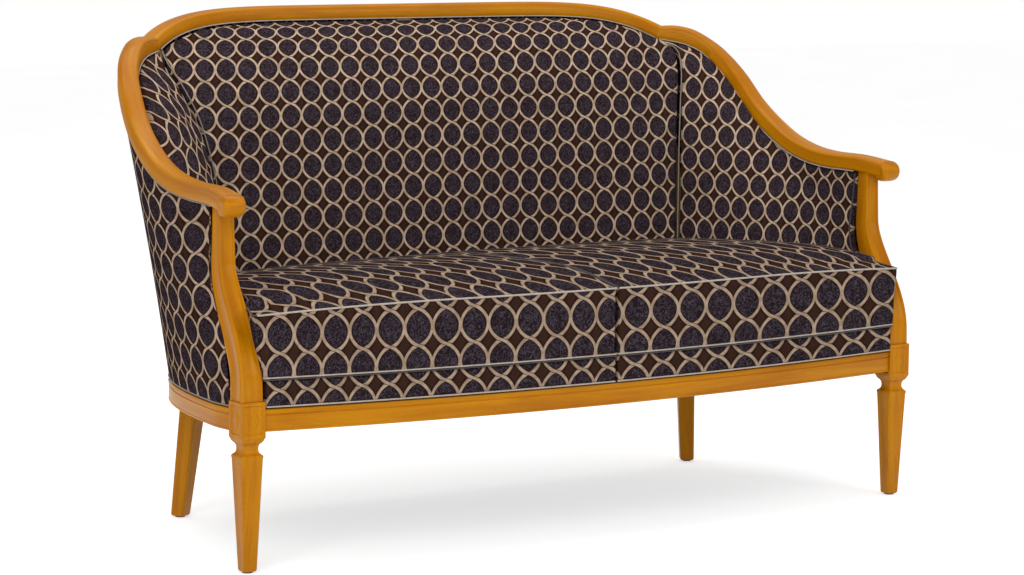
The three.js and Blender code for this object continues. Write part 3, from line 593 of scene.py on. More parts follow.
def speckled(name, base, fleck, roughness, metallic=0.0):
    finish = Finish(name, Roughness=roughness, Metallic=metallic)
    place = finish.object_place()
    wear_and_painted_shade = finish.noise(place, 180.0, 4.0)
    colour = finish.blend(finish.step(wear_and_painted_shade, 0.4, 0.7, 0.0, 0.6), base, fleck)
    return finish.done(Base_Color=colour, Normal=finish.bump(wear_and_painted_shade, 0.0002, 0.3))


HONEY = tone(202, 136, 2)
HONEY_SHADE = tone(176, 106, 0)
show_beech = lacquered_beech("lacquered_beech", lambda f: f.attribute("grain"), HONEY, HONEY_SHADE, 0.16)
frame_beech = lacquered_beech(
    "sawn_beech", Finish.object_place, tone(205, 170, 125), tone(180, 140, 95), 0.0)
BACK_COLUMN, BACK_ROW = 46.3, 50.4
SEAT_COLUMN, SEAT_ROW = 62.0, 67.0
back_cloth = wavy_band_jacquard("back_jacquard", BACK_COLUMN * MM, BACK_ROW * MM, rose_lift=0.06)
# The seat's bands are darkened with a share of 0.8, as painted shade
seat_cloth = wavy_band_jacquard("seat_jacquard", SEAT_COLUMN * MM, SEAT_ROW * MM, 0.8)
pale_piping = twisted_piping("pale_piping", tone(196, 182, 168), tone(120, 104, 92))
# The pale piping painted darker, as painted shade, for piping that lies in seam valleys and under rails
piping_in_painted_shade = twisted_piping("shaded_piping", tone(140, 128, 116), tone(84, 70, 60))
# A dark cord that stands for shadow gap lines: painted shadow, not a real piping
painted_shadow_cord = twisted_piping("painted_shadow_cord", tone(58, 46, 44), tone(36, 28, 26))
web_cloth = plain_cloth("jute_webbing", tone(150, 120, 80), tone(110, 84, 52), 0.004)
dust_cloth = plain_cloth("black_dust_cloth", tone(36, 36, 38), tone(22, 22, 24), 0.0012)
glide_plastic = speckled("glide_plastic", tone(42, 30, 24), tone(60, 46, 38), 0.5)
staple_wire = speckled("staple_wire", tone(150, 150, 155), tone(110, 108, 108), 0.35, 1.0)


# Geometry Nodes: a cord along a line, a moulded rail along a line, and staples along a line

def node_group(name, **sizes):
    """An empty tree with a mesh input, the kinds of its named sizes, a material and a mesh output."""
    tree = bpy.data.node_groups.new(name, "GeometryNodeTree")
    for label, kind in {"Geometry": "Geometry", **sizes, "Material": "Material"}.items():
        tree.interface.new_socket(label, in_out="INPUT", socket_type="NodeSocket" + kind)
    tree.interface.new_socket("Geometry", in_out="OUTPUT", socket_type="NodeSocketGeometry")
    given = wire(tree, "NodeGroupInput").outputs
    return tree, given, wire(tree, "GeometryNodeMeshToCurve", {0: given["Geometry"]}).outputs[0]


def finish_tree(tree, geometry, given):
    whole = wire(tree, "GeometryNodeRealizeInstances", {0: geometry})
    painted = wire(tree, "GeometryNodeSetMaterial", {0: whole.outputs[0], "Material": given["Material"]})
    wire(tree, "NodeGroupOutput", {0: painted.outputs[0]})
    return tree


def stored(tree, geometry, name, value):
    """Keeps a value at each point of a line or mesh, under a name."""
    kept = wire(tree, "GeometryNodeStoreNamedAttribute", {
        "Geometry": geometry, "Name": name, "Value": value,
    }, data_type="FLOAT_VECTOR", domain="POINT")
    return kept.outputs[0]


def stored_run(tree, line, name):
    """The distance along each line, kept on the mesh that follows it."""
    along = wire(tree, "GeometryNodeSplineParameter").outputs["Length"]
    return stored(tree, line, name, wire(tree, "ShaderNodeCombineXYZ", {0: along}).outputs[0])


def cord_tree():
    tree, given, line = node_group("cord_along_line", Radius="Float", Sides="Int")
    kept = stored_run(tree, line, "run")
    circle = wire(tree, "GeometryNodeCurvePrimitiveCircle", {
        "Resolution": given["Sides"], "Radius": given["Radius"],
    }, mode="RADIUS")
    tube = wire(tree, "GeometryNodeCurveToMesh", {
        "Curve": kept, "Profile Curve": circle.outputs[0], "Fill Caps": True,
    })
    smooth_tube = wire(tree, "GeometryNodeSetShadeSmooth", {0: tube.outputs[0], "Shade Smooth": True})
    return finish_tree(tree, smooth_tube.outputs[0], given)


def staple_tree():
    tree, given, line = node_group("staples_along_line", Pitch="Float", Length="Float", Wire="Float")
    spots = wire(tree, "GeometryNodeCurveToPoints", {"Curve": line, "Length": given["Pitch"]}, mode="LENGTH")
    size = wire(tree, "ShaderNodeCombineXYZ", {0: given["Wire"], 1: given["Wire"], 2: given["Length"]})
    crown = wire(tree, "GeometryNodeMeshCube", {"Size": size.outputs[0]})
    tilt = wire(tree, "FunctionNodeRandomValue", {
        "Seed": 3, 2: -STAPLE_TILT, 3: STAPLE_TILT,
    }, data_type="FLOAT")
    turn = wire(tree, "ShaderNodeCombineXYZ", {0: tilt.outputs[1]})
    turned_way = wire(tree, "FunctionNodeRotateRotation", {
        0: spots.outputs["Rotation"], 1: turn.outputs[0],
    }, rotation_space="LOCAL")
    placed_staples = wire(tree, "GeometryNodeInstanceOnPoints", {
        "Points": spots.outputs["Points"], "Instance": crown.outputs[0], "Rotation": turned_way.outputs[0],
    })
    return finish_tree(tree, placed_staples.outputs[0], given)


def rail_tree():
    tree, given, line = node_group(
        "moulding_along_line", Height="Float", Depth="Float", Rounding="Float", Fillet="Float", Quirk="Float")

    def worked(operation):
        return lambda *values: wire(tree, "ShaderNodeMath", enumerate(values), operation=operation).outputs[0]

    plus, less, times = (worked(operation) for operation in ("ADD", "SUBTRACT", "MULTIPLY"))
    height, depth, rounding, fillet, quirk = (
        given[label] for label in ("Height", "Depth", "Rounding", "Fillet", "Quirk"))
    fillet_z = less(height, fillet)
    corners = [
        (depth, 0.0), (times(rounding, 0.6), 0.0), (times(rounding, 0.15), times(rounding, 0.3)),
        (0.0, rounding), (0.0, plus(rounding, times(quirk, 0.4))),
        (times(quirk, 0.45), plus(rounding, times(quirk, 0.8))),
        (times(quirk, 0.3), plus(rounding, times(quirk, 1.3))),
        (times(quirk, 0.3), less(fillet_z, times(quirk, 1.6))),
        (quirk, less(fillet_z, times(quirk, 1.2))), (quirk, less(fillet_z, times(quirk, 0.2))),
        (0.0, fillet_z), (0.0, less(height, rounding)),
        (times(rounding, 0.3), less(height, times(rounding, 0.3))), (rounding, height), (depth, height),
    ]
    count = len(corners)
    row = wire(tree, "GeometryNodeMeshLine", {"Count": count}, mode="OFFSET")
    index = wire(tree, "GeometryNodeInputIndex").outputs[0]
    switches = []
    for place in (0, 1):
        switch = wire(tree, "GeometryNodeIndexSwitch", {"Index": index}, data_type="FLOAT")
        while len(switch.index_switch_items) < count:
            switch.index_switch_items.new()
        for i, corner in enumerate(corners):
            join(tree, corner[place], switch.inputs[i + 1])
        switches.append(switch.outputs[0])
    spot = wire(tree, "ShaderNodeCombineXYZ", enumerate(switches)).outputs[0]
    half_turn = wire(tree, "ShaderNodeVectorMath", {0: spot, 1: (-1, -1, 0)}, operation="MULTIPLY")
    shaped = wire(tree, "GeometryNodeSetPosition", {
        "Geometry": row.outputs[0], "Position": half_turn.outputs[0],
    })
    profile = wire(tree, "GeometryNodeMeshToCurve", {0: shaped.outputs[0]})
    section = stored(tree, profile.outputs[0], "section", spot)
    closed = wire(tree, "GeometryNodeSetSplineCyclic", {0: section, "Cyclic": True})
    level = wire(tree, "GeometryNodeSetCurveNormal", {"Curve": line}, mode="Z_UP")
    rail = wire(tree, "GeometryNodeCurveToMesh", {
        "Curve": stored_run(tree, level.outputs[0], "grain"), "Profile Curve": closed.outputs[0],
        "Fill Caps": True,
    })
    own = [
        wire(tree, "GeometryNodeInputNamedAttribute", {"Name": name}, data_type="FLOAT_VECTOR").outputs[0]
        for name in ("grain", "section")
    ]
    length, across_grain = (wire(tree, "ShaderNodeSeparateXYZ", {0: value}).outputs for value in own)
    grain = wire(tree, "ShaderNodeCombineXYZ", {0: length[0], 1: across_grain[0], 2: across_grain[1]})
    return finish_tree(tree, stored(tree, rail.outputs[0], "grain", grain.outputs[0]), given)


def grown(name, line, tree, finish, slot, crease=None, **sizes):
    """A piece that a node tree grows along one of the drawing's lines, turned into a plain mesh."""
    guide = bpy.data.meshes.new(name + "_line")
    guide.from_pydata(placed(line).tolist(), [(i, i + 1) for i in range(len(line) - 1)], [])
    holder = add_object(name + "_line", guide)
    growth = holder.modifiers.new("growth", "NODES")
    growth.node_group = tree
    sockets = {s.name: s.identifier for s in tree.interface.items_tree if s.in_out == "INPUT"}
    growth[sockets["Material"]] = finish
    for label, value in sizes.items():
        growth[sockets[label]] = value
    bpy.context.view_layer.update()
    mesh = bpy.data.meshes.new_from_object(holder.evaluated_get(bpy.context.evaluated_depsgraph_get()))
    holder.modifiers.remove(growth)
    bpy.data.objects.remove(holder)
    mesh.name = name
    face_outward(mesh)
    return add_piece(name, mesh, crease)


STAPLE_TILT = 0.12
CORD = cord_tree()
MOULDING = rail_tree()
STAPLES = staple_tree()


# Legs

def square_section(size, corner):
    """Eight points round a square with its corners taken off."""
    half, short = size / 2, size / 2 - corner
    return np.array([
        (half, -short), (half, short), (short, half), (-short, half),
        (-half, short), (-half, -short), (-short, -half), (short, -half),
    ])


def turned(section, turn):
    """A flat outline turned about its middle."""
    c, s = math.cos(turn), math.sin(turn)
    return section @ np.array([(c, s), (-s, c)])


def stacked_squares(levels, place=lambda z: (0.0, 0.0), turn=0.0):
    """Points and grain of square rings (height, size, corner), one above the other."""
    points, grain = [], []
    for z, size, corner in levels:
        section = square_section(size, corner)
        x, y = place(z)
        points += [(x + a, y + b, z) for a, b in turned(section, turn)]
        grain += [(z, a, b) for a, b in section]
    return np.array(points), np.array(grain)


FRONT_LEG_LEVELS = [
    (3, 24, 3), (6, 27, 3), (207, 43.6, 3.5), (212, 44, 1.5), (215, 41, 1.2), (216, 37.5, 1),
    (218, 33.5, 1), (221, 30.8, 1), (225, 29.6, 1), (230, 30.2, 1), (233.5, 32.6, 1), (236, 36, 1),
    (237, 39.5, 1), (238.5, 40.5, 1), (240, 43.5, 1), (243.5, 46, 1), (246, 49, 1),
]
REAR_LEG_LEVELS = [(3, 26, 3), (6, 29, 3), (60, 31.6, 3), (130, 34.6, 3), (200, 37.6, 3), (255.7, 40, 3)]
REAR_LEG_TURN = math.radians(-30)
REAR_LEG_TOP = RAIL_BOTTOM - 0.3
LEG_CREASE, COVER_CREASE = 28, 50
PANEL_MARGIN = 6.0
PANEL_BEVEL = 1.6
PANEL_SINK = 2.2
LOZENGE = (13.0, 22.0)
ROUND_PANEL = ((-1, -1), (0, -1), (1, -1), (1, 0), (1, 1), (0, 1), (-1, 1), (-1, 0))
ROUND_LOZENGE = ((-.5, -.5), (0, -1), (.5, -.5), (1, 0), (.5, .5), (0, 1), (-.5, .5), (-1, 0))
TRIM_LEVELS = [
    (BLOCK_BOTTOM, BLOCK_SIZE, 1), (BLOCK_BOTTOM + 0.8, BLOCK_SIZE, 0.8),
    (BLOCK_TOP - 0.8, BLOCK_SIZE, 0.8), (BLOCK_TOP, BLOCK_SIZE - 1.6, 0.8),
]


def block_face(turn):
    """A face of the leg's block: a frame round a sunk panel, with a raised lozenge on it."""
    half, middle, rise = BLOCK_SIZE / 2, (BLOCK_BOTTOM + BLOCK_TOP) / 2, (BLOCK_TOP - BLOCK_BOTTOM) / 2
    frames = ((0.8, 0.0), (PANEL_MARGIN, 0.0), (PANEL_MARGIN + PANEL_BEVEL, PANEL_SINK))
    lozenges = ((1.0, PANEL_SINK), (0.82, 0.9), (0.55, 0.9), (0.42, 0.2))
    rows = [(ROUND_PANEL, half - margin, rise - margin, sink) for margin, sink in frames]
    rows += [(ROUND_LOZENGE, LOZENGE[0] * scale, LOZENGE[1] * scale, sink) for scale, sink in lozenges]
    points = np.array([
        (x * wide, half - sink, middle + z * tall) for corners, wide, tall, sink in rows for x, z in corners
    ])
    faces = ring_faces(len(rows), 8, caps=False) + [tuple((len(rows) - 1) * 8 + i for i in range(8))]
    return np.column_stack([turned(points[:, :2], turn), points[:, 2]]), faces, points[:, (2, 0, 1)]


def front_leg():
    """The turned part, the four faces of its block and the block's trimmed corners."""
    shaft, shaft_grain = stacked_squares(FRONT_LEG_LEVELS)
    shaft_faces = ring_faces(len(FRONT_LEG_LEVELS), 8, caps=False) + [tuple(range(8))[::-1]]
    trim, trim_grain = stacked_squares(TRIM_LEVELS)
    trim_faces = [f for f in ring_faces(4, 8, caps=False) if f[0] // 8 != 1 or f[0] % 2 == 1]
    trim_faces.append(tuple(24 + i for i in range(8)))
    parts = [(shaft, shaft_faces, shaft_grain)]
    parts += [block_face(turn) for turn in (math.pi, -math.pi / 2, 0.0, math.pi / 2)]
    parts.append((trim, trim_faces, trim_grain))
    faces, count = [], 0
    for points, own_faces, _ in parts:
        faces += [tuple(count + i for i in f) for f in own_faces]
        count += len(points)
    points, _, grain = zip(*parts)
    return np.vstack(points) + (HALF_SPAN, 0, 0), faces, np.vstack(grain)


def rear_leg_place(z):
    fall = 1 - z / REAR_LEG_TOP
    base_x = 0.7655 * SIDE_X
    base_y = lerp(BLOCK_REAR, FRAME_DEPTH, 0.8963)
    return base_x + 23 * fall, base_y + 19 * fall


def make_legs():
    points, faces, grain = front_leg()
    wooden_pair("turned_out_front_leg", points, faces, "front_leg", grain, LEG_CREASE)
    points, grain = stacked_squares(REAR_LEG_LEVELS, rear_leg_place, REAR_LEG_TURN)
    faces = ring_faces(len(REAR_LEG_LEVELS), 8)
    wooden_pair("splayed_rear_leg", points, faces, "rear_leg", grain, LEG_CREASE)


# Posts, arms and crest

def post_section(wide, deep):
    """A square post with a raised bead along each front arris and rounded rear corners."""
    w, d = wide / 2, deep / 2
    return np.array([
        (-w, d - 3), (-w, -d + 4), (-w + 1.2, -d + 1.2), (-w + 3, -d), (-w + 5.6, -d), (-w + 6.6, -d + 1.6),
        (-w + 7.8, -d + 2.4), (w - 8.6, -d + 2.4), (w - 7.4, -d + 1.8), (w - 6.4, -d + 0.1), (w - 3.4, -d),
        (w - 1.0, -d + 1.0), (w, -d + 3.4), (w - 0.1, -d + 6.4), (w - 1.6, -d + 7.4), (w - 2.2, -d + 8.6),
        (w - 2.2, d - 8.6), (w - 1.6, d - 7.4), (w, d - 6), (w, d - 3), (w - 0.9, d - 0.9), (w - 3, d),
        (-w + 3, d), (-w + 0.9, d - 0.9),
    ])


def make_posts():
    heights = np.linspace(BLOCK_TOP + 0.3, POST_TOP, 40)
    middle = post_y(heights)
    lean = np.where(heights < BLOCK_TOP + 4, 0.0, np.gradient(middle, heights))
    points, grain = [], []
    for z, w, d, y, slope in zip(heights, *post_size(heights), middle, lean):
        section = post_section(w, d)
        points += [(HALF_SPAN + a, y + b, z - b * slope) for a, b in section]
        grain += [(z, a, b) for a, b in section]
    points = np.array(points)
    around = len(section)
    points[:around, 2] = heights[0]
    faces = ring_faces(len(heights), around)
    wooden_pair("swept_arm_post", points, faces, "arm_post", np.array(grain), POST_CREASE)


POST_CREASE = 30
RAIL_HALF_SECTION = [
    (0, -16), (17.5, -16), (21.3, -15), (23, -12.4), (23, 5.6), (22.6, 6.3), (22.7, 7.2), (22.1, 9.4),
    (20.4, 12), (17.4, 14.1), (13, 15.3), (7, 15.9), (0, 16),
]
RAIL_SECTION = np.array(RAIL_HALF_SECTION + [(-a, b) for a, b in RAIL_HALF_SECTION[-2:0:-1]])
KNUCKLE_RISE, SHOULDER_DROP, CREST_OVERLAP = 5.0, 5.0, 12.0
RAIL_CREASE = 32
ROLL_RADIUS, ROLL_Y, ROLL_Z = 20.5, 41.5, 656.5


def rail_rings(here, width, height, knuckle=0.0, shoulder=0.0):
    """The rail's section at each station. A knuckle raises its top, a shoulder its outer edge."""
    point, out, up = here
    width, height, knuckle, shoulder = (
        np.broadcast_to(size, len(point))[:, None] for size in (width, height, knuckle, shoulder))
    across = RAIL_SECTION[:, 0] / ARM_SIZE[0] * width
    topmost = np.clip(RAIL_SECTION[:, 1] / 3.0, 0, 1)
    outermost = topmost * np.clip(RAIL_SECTION[:, 0] / 12.0, 0, 1)
    upward = RAIL_SECTION[:, 1] / ARM_SIZE[1] * height + knuckle * topmost + shoulder * outermost
    rings = point[:, None] + out[:, None] * across[..., None] + up[:, None] * upward[..., None]
    run = np.broadcast_to(run_along(point)[:, None], across.shape)
    grain = np.stack([run, across, upward], -1)
    return rings.reshape(-1, 3), grain.reshape(-1, 3)


def rolled_end():
    """The rolled front end of an arm: its moulding carried round a short drum."""
    x = arm_curve.at(0)[0][0]
    drop = ROLL_RADIUS - ARM_SIZE[1] / 2
    right = [(a + 0.05 * (a > 0), b + drop) for a, b in RAIL_HALF_SECTION[-1:4:-1]]
    right.append((ARM_SIZE[0] / 2 + 0.05, 2.0))
    profile = [(-a, b) for a, b in right[:0:-1]] + right
    around = 48
    turns = np.arange(around) * 2 * math.pi / around
    points = np.array([
        (x + a, ROLL_Y + r * math.cos(t), ROLL_Z + r * math.sin(t)) for a, r in profile for t in turns
    ])
    grain = np.stack([points[:, 1] - ROLL_Y, points[:, 2] - ROLL_Z, points[:, 0] * 0.3], -1)
    return points, ring_faces(len(profile), around), grain


def make_arms_and_crest():
    shares = np.linspace(0, 1, 150)
    width, height = arm_size(shares)
    knuckle = KNUCKLE_RISE * smooth((shares - 0.74) / 0.11) * (1 - smooth((shares - 0.88) / 0.12))
    shoulder = -SHOULDER_DROP * smooth((shares - 0.93) / 0.06)
    rings, grain = rail_rings(arm_stations(shares), width, height, knuckle, shoulder)
    faces = ring_faces(len(shares), len(RAIL_SECTION))
    scroll, scroll_faces, scroll_grain = rolled_end()
    points = np.vstack([rings, scroll])
    faces += [tuple(len(rings) + i for i in f) for f in scroll_faces]
    wooden_pair("moulded_arm", points, faces, "arm_rail", np.vstack([grain, scroll_grain]), RAIL_CREASE)
    shares = np.linspace(0, 1, 220)
    point, out, up = stations(crest_curve, shares)
    way = crest_curve.way([0.0, 1.0]) * CREST_OVERLAP
    point = np.vstack([point[0] - way[0], point, point[-1] + way[1]])
    out, up = (np.vstack([d[0], d, d[-1]]) for d in (out, up))
    rings, grain = rail_rings((point, out, up), *CREST_SIZE)
    faces = ring_faces(len(point), len(RAIL_SECTION))
    crest = make_piece("arched_crest", rings, faces, show_beech, grain=grain, crease=RAIL_CREASE)
    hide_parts("crest_rail")


# Seat rails

RAIL_SIZES = {
    "Height": RAIL_HEIGHT * MM, "Depth": RAIL_DEPTH * MM, "Rounding": 3.2 * MM, "Fillet": 9.0 * MM,
    "Quirk": 2.0 * MM,
}


def make_seat_rails():
    x = np.linspace(-INNER_BLOCK_X + 0.3, INNER_BLOCK_X - 0.3, 70)
    front = np.stack([x, rail_face(x), np.full_like(x, RAIL_BOTTOM)], -1)
    side = outline(np.linspace(0.004, CORNER_SHARE - 0.0004, 60))
    back_half = outline(np.linspace(CORNER_SHARE, 1, 50))
    back = np.vstack([back_half, (back_half[:-1] * (-1, 1, 1))[::-1]])
    for line in (side, back):
        line[:, 2] = RAIL_BOTTOM
    runs = [
        ("bowed_front_rail", front, "front_rail"),
        ("curved_side_rail_right", side, "side_rail_right"),
        ("curved_side_rail_left", (side * (-1, 1, 1))[::-1], "side_rail_left"),
        ("curved_back_rail", back, "back_rail"),
    ]
    for name, line, node in runs:
        piece = grown(name, line, MOULDING, show_beech, "show_wood", 30, **RAIL_SIZES)
        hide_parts(node)


# Padded pieces

def grid_faces(rows, columns, start=0, flipped=False):
    faces = []
    for r in range(rows - 1):
        for c in range(columns - 1):
            a = start + r * columns + c
            face = (a, a + 1, a + columns + 1, a + columns)
            faces.append(face[::-1] if flipped else face)
    return faces


def rim_loop(rows, columns):
    """Grid points round the edge of a patch, in order."""
    grid = np.arange(rows * columns).reshape(rows, columns)
    return np.concatenate([grid[0], grid[1:, -1], grid[-1, -2::-1], grid[-2:0:-1, 0]]).tolist()


def on_grid(surface, across, up, *more):
    """The points of a surface at a grid of shares, in rows and columns."""
    return surface(across.ravel(), up.ravel(), *more).reshape(*across.shape, 3)


def shell(front, back):
    """A closed shell between two patches of points with the same rows and columns."""
    rows, columns, _ = front.shape
    count = rows * columns
    points = np.vstack([front.reshape(-1, 3), back.reshape(-1, 3)])
    faces = grid_faces(rows, columns) + grid_faces(rows, columns, count, flipped=True)
    rim = rim_loop(rows, columns)
    for a, b in zip(rim, rim[1:] + rim[:1]):
        faces.append((b, a, count + a, count + b))
    return points, faces


def sunk_edge(patch, inward, depth, reach):
    """Draws a patch in towards its top and its two sides, as cloth pulled over an edge is."""
    across, along = run_along(patch), run_along(patch.swapaxes(0, 1)).T
    gaps = (along[-1:] - along, across, across[:, -1:] - across)
    sink = sum((1 - np.clip(gap / reach, 0, 1)) ** 2.5 for gap in gaps)
    return patch + inward * (depth * np.minimum(sink, 1.2))[..., None]


def surface_normals(patch, towards):
    """Which way each point of a patch faces, on the side that the patch's middle turns to a direction."""
    along, across = np.gradient(patch, axis=0), np.gradient(patch, axis=1)
    normals = unit(np.cross(across, along))
    rows, columns, _ = patch.shape
    return -normals if normals[rows // 2, columns // 2] @ towards < 0 else normals


def at_height(surface, shares, z, highest=0.75):
    """Where an upholstered surface passes through a height, for each share across it."""
    rises = np.linspace(0, highest, 60)
    found = []
    for share in shares:
        line = surface(np.full(len(rises), share), rises)
        found.append([np.interp(z, line[:, 2], line[:, k]) for k in (0, 1)] + [z])
    return np.array(found)


BACK_ARC = back_line.at(np.linspace(0, 1, 400))
BACK_ARC_LENGTH = run_along(BACK_ARC)


def arc_at(z):
    return np.interp(z, BACK_ARC[:, 2], BACK_ARC_LENGTH)


BACK_DRIFT = 0.486  # how far a column moves to the right as the back leans away
BACK_ROW_AT = 675.0


def threads_at(across, up):
    """Weave coordinates in the plane of the cloth."""
    return np.stack([across, up, 0 * up], -1)


def back_weave(points):
    across = points[:, 0] - BACK_DRIFT * (points[:, 1] - 500.0) + 4.0
    return threads_at(across, arc_at(points[:, 2]) - arc_at(BACK_ROW_AT))


SEAM_LINE = seam_curve.at(np.linspace(0, 1, 300))
WING_NARROWING = 1.22


def wing_weave(points):
    """Columns run beside the wing's seam, and narrow towards the top of the left wing."""
    z = points[:, 2]
    seam_x, seam_y = (np.interp(z, SEAM_LINE[:, 2], SEAM_LINE[:, k]) for k in (0, 1))
    side = np.sign(points[:, 0])
    away = np.hypot(np.abs(points[:, 0]) - seam_x, points[:, 1] - seam_y)
    narrowing = np.where(side < 0, lerp(1.0, 1.65, smooth((z - 690) / 90)), WING_NARROWING)
    return threads_at(side * (away - 25.0) * narrowing, (z - 706.0) * BACK_ROW / 48.8)


# Where the middles of the ovals stand across the seat, wider apart towards the right
SEAT_COLUMNS_AT = [
    -745, -691, -638.5, -586, -534, -481, -424.8, -368.5, -311.5, -253.8, -195, -136, -77.5, -21,
    43.3, 108.5, 174.5, 242, 311, 382, 455, 528.5, 605, 687.5, 772,
]
ROW_MIDDLE = 430.5


def seat_columns(x):
    return np.interp(x, SEAT_COLUMNS_AT, np.arange(len(SEAT_COLUMNS_AT)) * SEAT_COLUMN)


def seat_front_weave(points):
    return threads_at(seat_columns(points[:, 0]), points[:, 2] - ROW_MIDDLE)


# On a cushion's top the rows are cut longer than on its front
TOP_CROSSINGS_AT = [-205.0, -105.0, -5.0, 97.0, 235.0, 385.0, 545.0]
TOP_COLUMN, TOP_COLUMN_MIDDLE = 56.0, 15.0


def seat_top_weave(points):
    rows = np.interp(points[:, 1], TOP_CROSSINGS_AT, (np.arange(len(TOP_CROSSINGS_AT)) + 0.5) * SEAT_ROW)
    columns = (points[:, 0] - TOP_COLUMN_MIDDLE) * SEAT_COLUMN / TOP_COLUMN
    return threads_at(columns, rows)


def seat_side_weave(points):
    return threads_at(points[:, 1], points[:, 2] - ROW_MIDDLE)


def read_places(mesh):
    places = np.zeros(len(mesh.vertices) * 3)
    mesh.vertices.foreach_get("co", places)
    return places.reshape(-1, 3)


def move_points(mesh, move):
    mesh.vertices.foreach_set("co", (read_places(mesh) + move).ravel())
    mesh.update()


CLOTH_SETTINGS = {
    "use_pressure": True, "vertex_group_mass": "seams", "quality": 5, "mass": 0.4, "tension_stiffness": 25.0,
    "compression_stiffness": 25.0, "bending_stiffness": 2.0,
}
LAST_FRAME = 20


def stuff(piece, cap, pinned, pressure):
    """Blows a stitched cover up against its pinned seams, and keeps each point's movement under its cap."""
    seams = piece.vertex_groups.new(name="seams")
    seams.add([int(i) for i in pinned], 1.0, "REPLACE")
    cover = piece.modifiers.new("cover", "CLOTH")
    for setting, value in CLOTH_SETTINGS.items():
        setattr(cover.settings, setting, value)
    cover.settings.uniform_pressure_force = pressure
    cover.settings.effector_weights.gravity = 0.0
    cover.collision_settings.use_collision = False
    cover.point_cache.frame_start, cover.point_cache.frame_end = 1, LAST_FRAME
    for step in range(1, LAST_FRAME + 1):
        bpy.context.scene.frame_set(step)
    settled = piece.evaluated_get(bpy.context.evaluated_depsgraph_get()).to_mesh()
    move = read_places(settled) - read_places(piece.data)
    length = np.linalg.norm(move, axis=1)
    kept = cap * (1 - np.exp(-length / np.maximum(cap, 1e-9)))
    move *= (kept / np.maximum(length, 1e-9))[:, None]
    piece.modifiers.remove(cover)
    piece.vertex_groups.remove(seams)
    bpy.context.scene.frame_set(1)
    move_points(piece.data, move)
    return move


def stuff_front(pad, patch, cap):
    """Blows up the front of a shell, which stays sewn down round its rim and flat behind."""
    rows, columns, _ = patch.shape
    count = rows * columns
    caps = np.concatenate([np.broadcast_to(cap, count), np.zeros(count)])
    return stuff(pad, caps, rim_loop(rows, columns) + list(range(count, 2 * count)), PAD_PRESSURE)


def padded(piece, replaced):
    """Rounds a padded piece with one live subdivision, and hides the part it replaces."""
    rounding = piece.modifiers.new("soft", "SUBSURF")
    rounding.levels = rounding.render_levels = 1
    rounding.boundary_smooth = "PRESERVE_CORNERS"
    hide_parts(replaced)


def piping(name, line, radius, finish=pale_piping):
    grown(name, line, CORD, finish, "jacquard", Radius=radius * MM, Sides=8)


# Seat cushions

SPLIT = 3.0
EAR_X = 736.0
EAR_RADIUS = 16.0
STEPS_ACROSS, STEPS_BACK = 92, 66


def cushion_outline(z):
    """The right-hand cushion's edges at a height: its front, side, back and split lines."""
    ear_x = lerp(714.5, EAR_X, np.clip((z - 330) / 131, 0, 1) ** 0.7)
    wide, deep = post_size(max(z, BLOCK_TOP))
    post_front = post_y(z) - deep / 2 - 1.5
    radius = min(EAR_RADIUS, max(3.0, 0.6 * (post_front - cushion_face(ear_x - 8.0))))
    x = np.linspace(SPLIT, ear_x - radius, STEPS_ACROSS - 7)
    front = np.stack([x, cushion_face(x)], -1)
    turns = np.linspace(0, math.pi / 2, 9)[1:]
    corner = np.array([ear_x - radius, cushion_face(ear_x - radius) + radius])
    front = np.vstack([front, corner + radius * np.stack([np.sin(turns), -np.cos(turns)], -1)])
    stop = max(post_front, front[-1, 1] + 1.0)
    post_inside = HALF_SPAN - wide / 2 - 1.5
    shares = np.linspace(0.0, 1.0, STEPS_BACK - 9)
    wing = at_height(inner_wing, shares, z)[:, :2] + wing_inward[:2] * CUSHION_GAP
    wing[:, 1] = np.maximum(wing[:, 1], stop + 0.5 * np.arange(len(wing)))
    wing[:, 0] = np.minimum(wing[:, 0], post_inside)
    ear_back = np.array([max(post_inside + 0.5, ear_x - 0.35 * (stop - front[-1, 1])), stop])
    ear_side = lerp(front[-1], ear_back, np.linspace(0, 1, 5)[:, None])
    inward = lerp(ear_back, np.array([post_inside, stop]), np.linspace(0, 1, 6)[1:, None])
    side = np.vstack([ear_side, inward, wing[1:]])
    across = np.linspace(0, 1, len(front))
    back = at_height(inner_back, across, z)[:, :2]
    back = np.stack([back[:, 0] - across * CUSHION_GAP, back[:, 1] - CUSHION_GAP], -1)
    back[0, 0] = SPLIT
    back[-1] = side[-1]
    depth = np.linspace(0, 1, len(side))[:, None]
    split = lerp(front[0], back[0], depth)
    return front, side, back, split


def blended_patch(front, side, back, split):
    """Fills four edge lines with a level patch: rows run from the front to the back."""
    s = np.linspace(0, 1, len(front))[None, :, None]
    t = np.linspace(0, 1, len(side))[:, None, None]
    rows = lerp(split[:, None], side[:, None], s)
    columns = lerp(front[None], back[None], t)
    corners = lerp(lerp(front[0], front[-1], s), lerp(back[0], back[-1], s), t)
    return rows + columns - corners


def loop_of(front, side, back, split):
    return np.vstack([front[:-1], side[:-1], back[:0:-1], split[:0:-1]])


CUSHION_LEVELS = [350.0, 351.2, 355.0, 362, 372, 383, 394, 406, 418, 430, 442, 453, 462, 469, 473.6, 475.0]


CROWN_AT = 0.36  # the share of its depth where a cushion is highest


def top_height(x, s, t, crown, sink):
    """A cushion's top: its front seam sinks towards the arm, and it swells quickly behind that seam."""
    seam = CUSHION_EDGE + 3.0 - 12.0 * np.clip((np.abs(x) - 350) / 385, 0, 1) ** 2
    behind = np.clip((t - CROWN_AT) / (1 - CROWN_AT), 0, 1)
    swell = 1 - (1 - np.clip(t / CROWN_AT, 0, 1)) ** 1.8 - (0.5 + sink * s) * behind**1.6
    return seam + crown * swell * (1 + 0.15 * s**5)


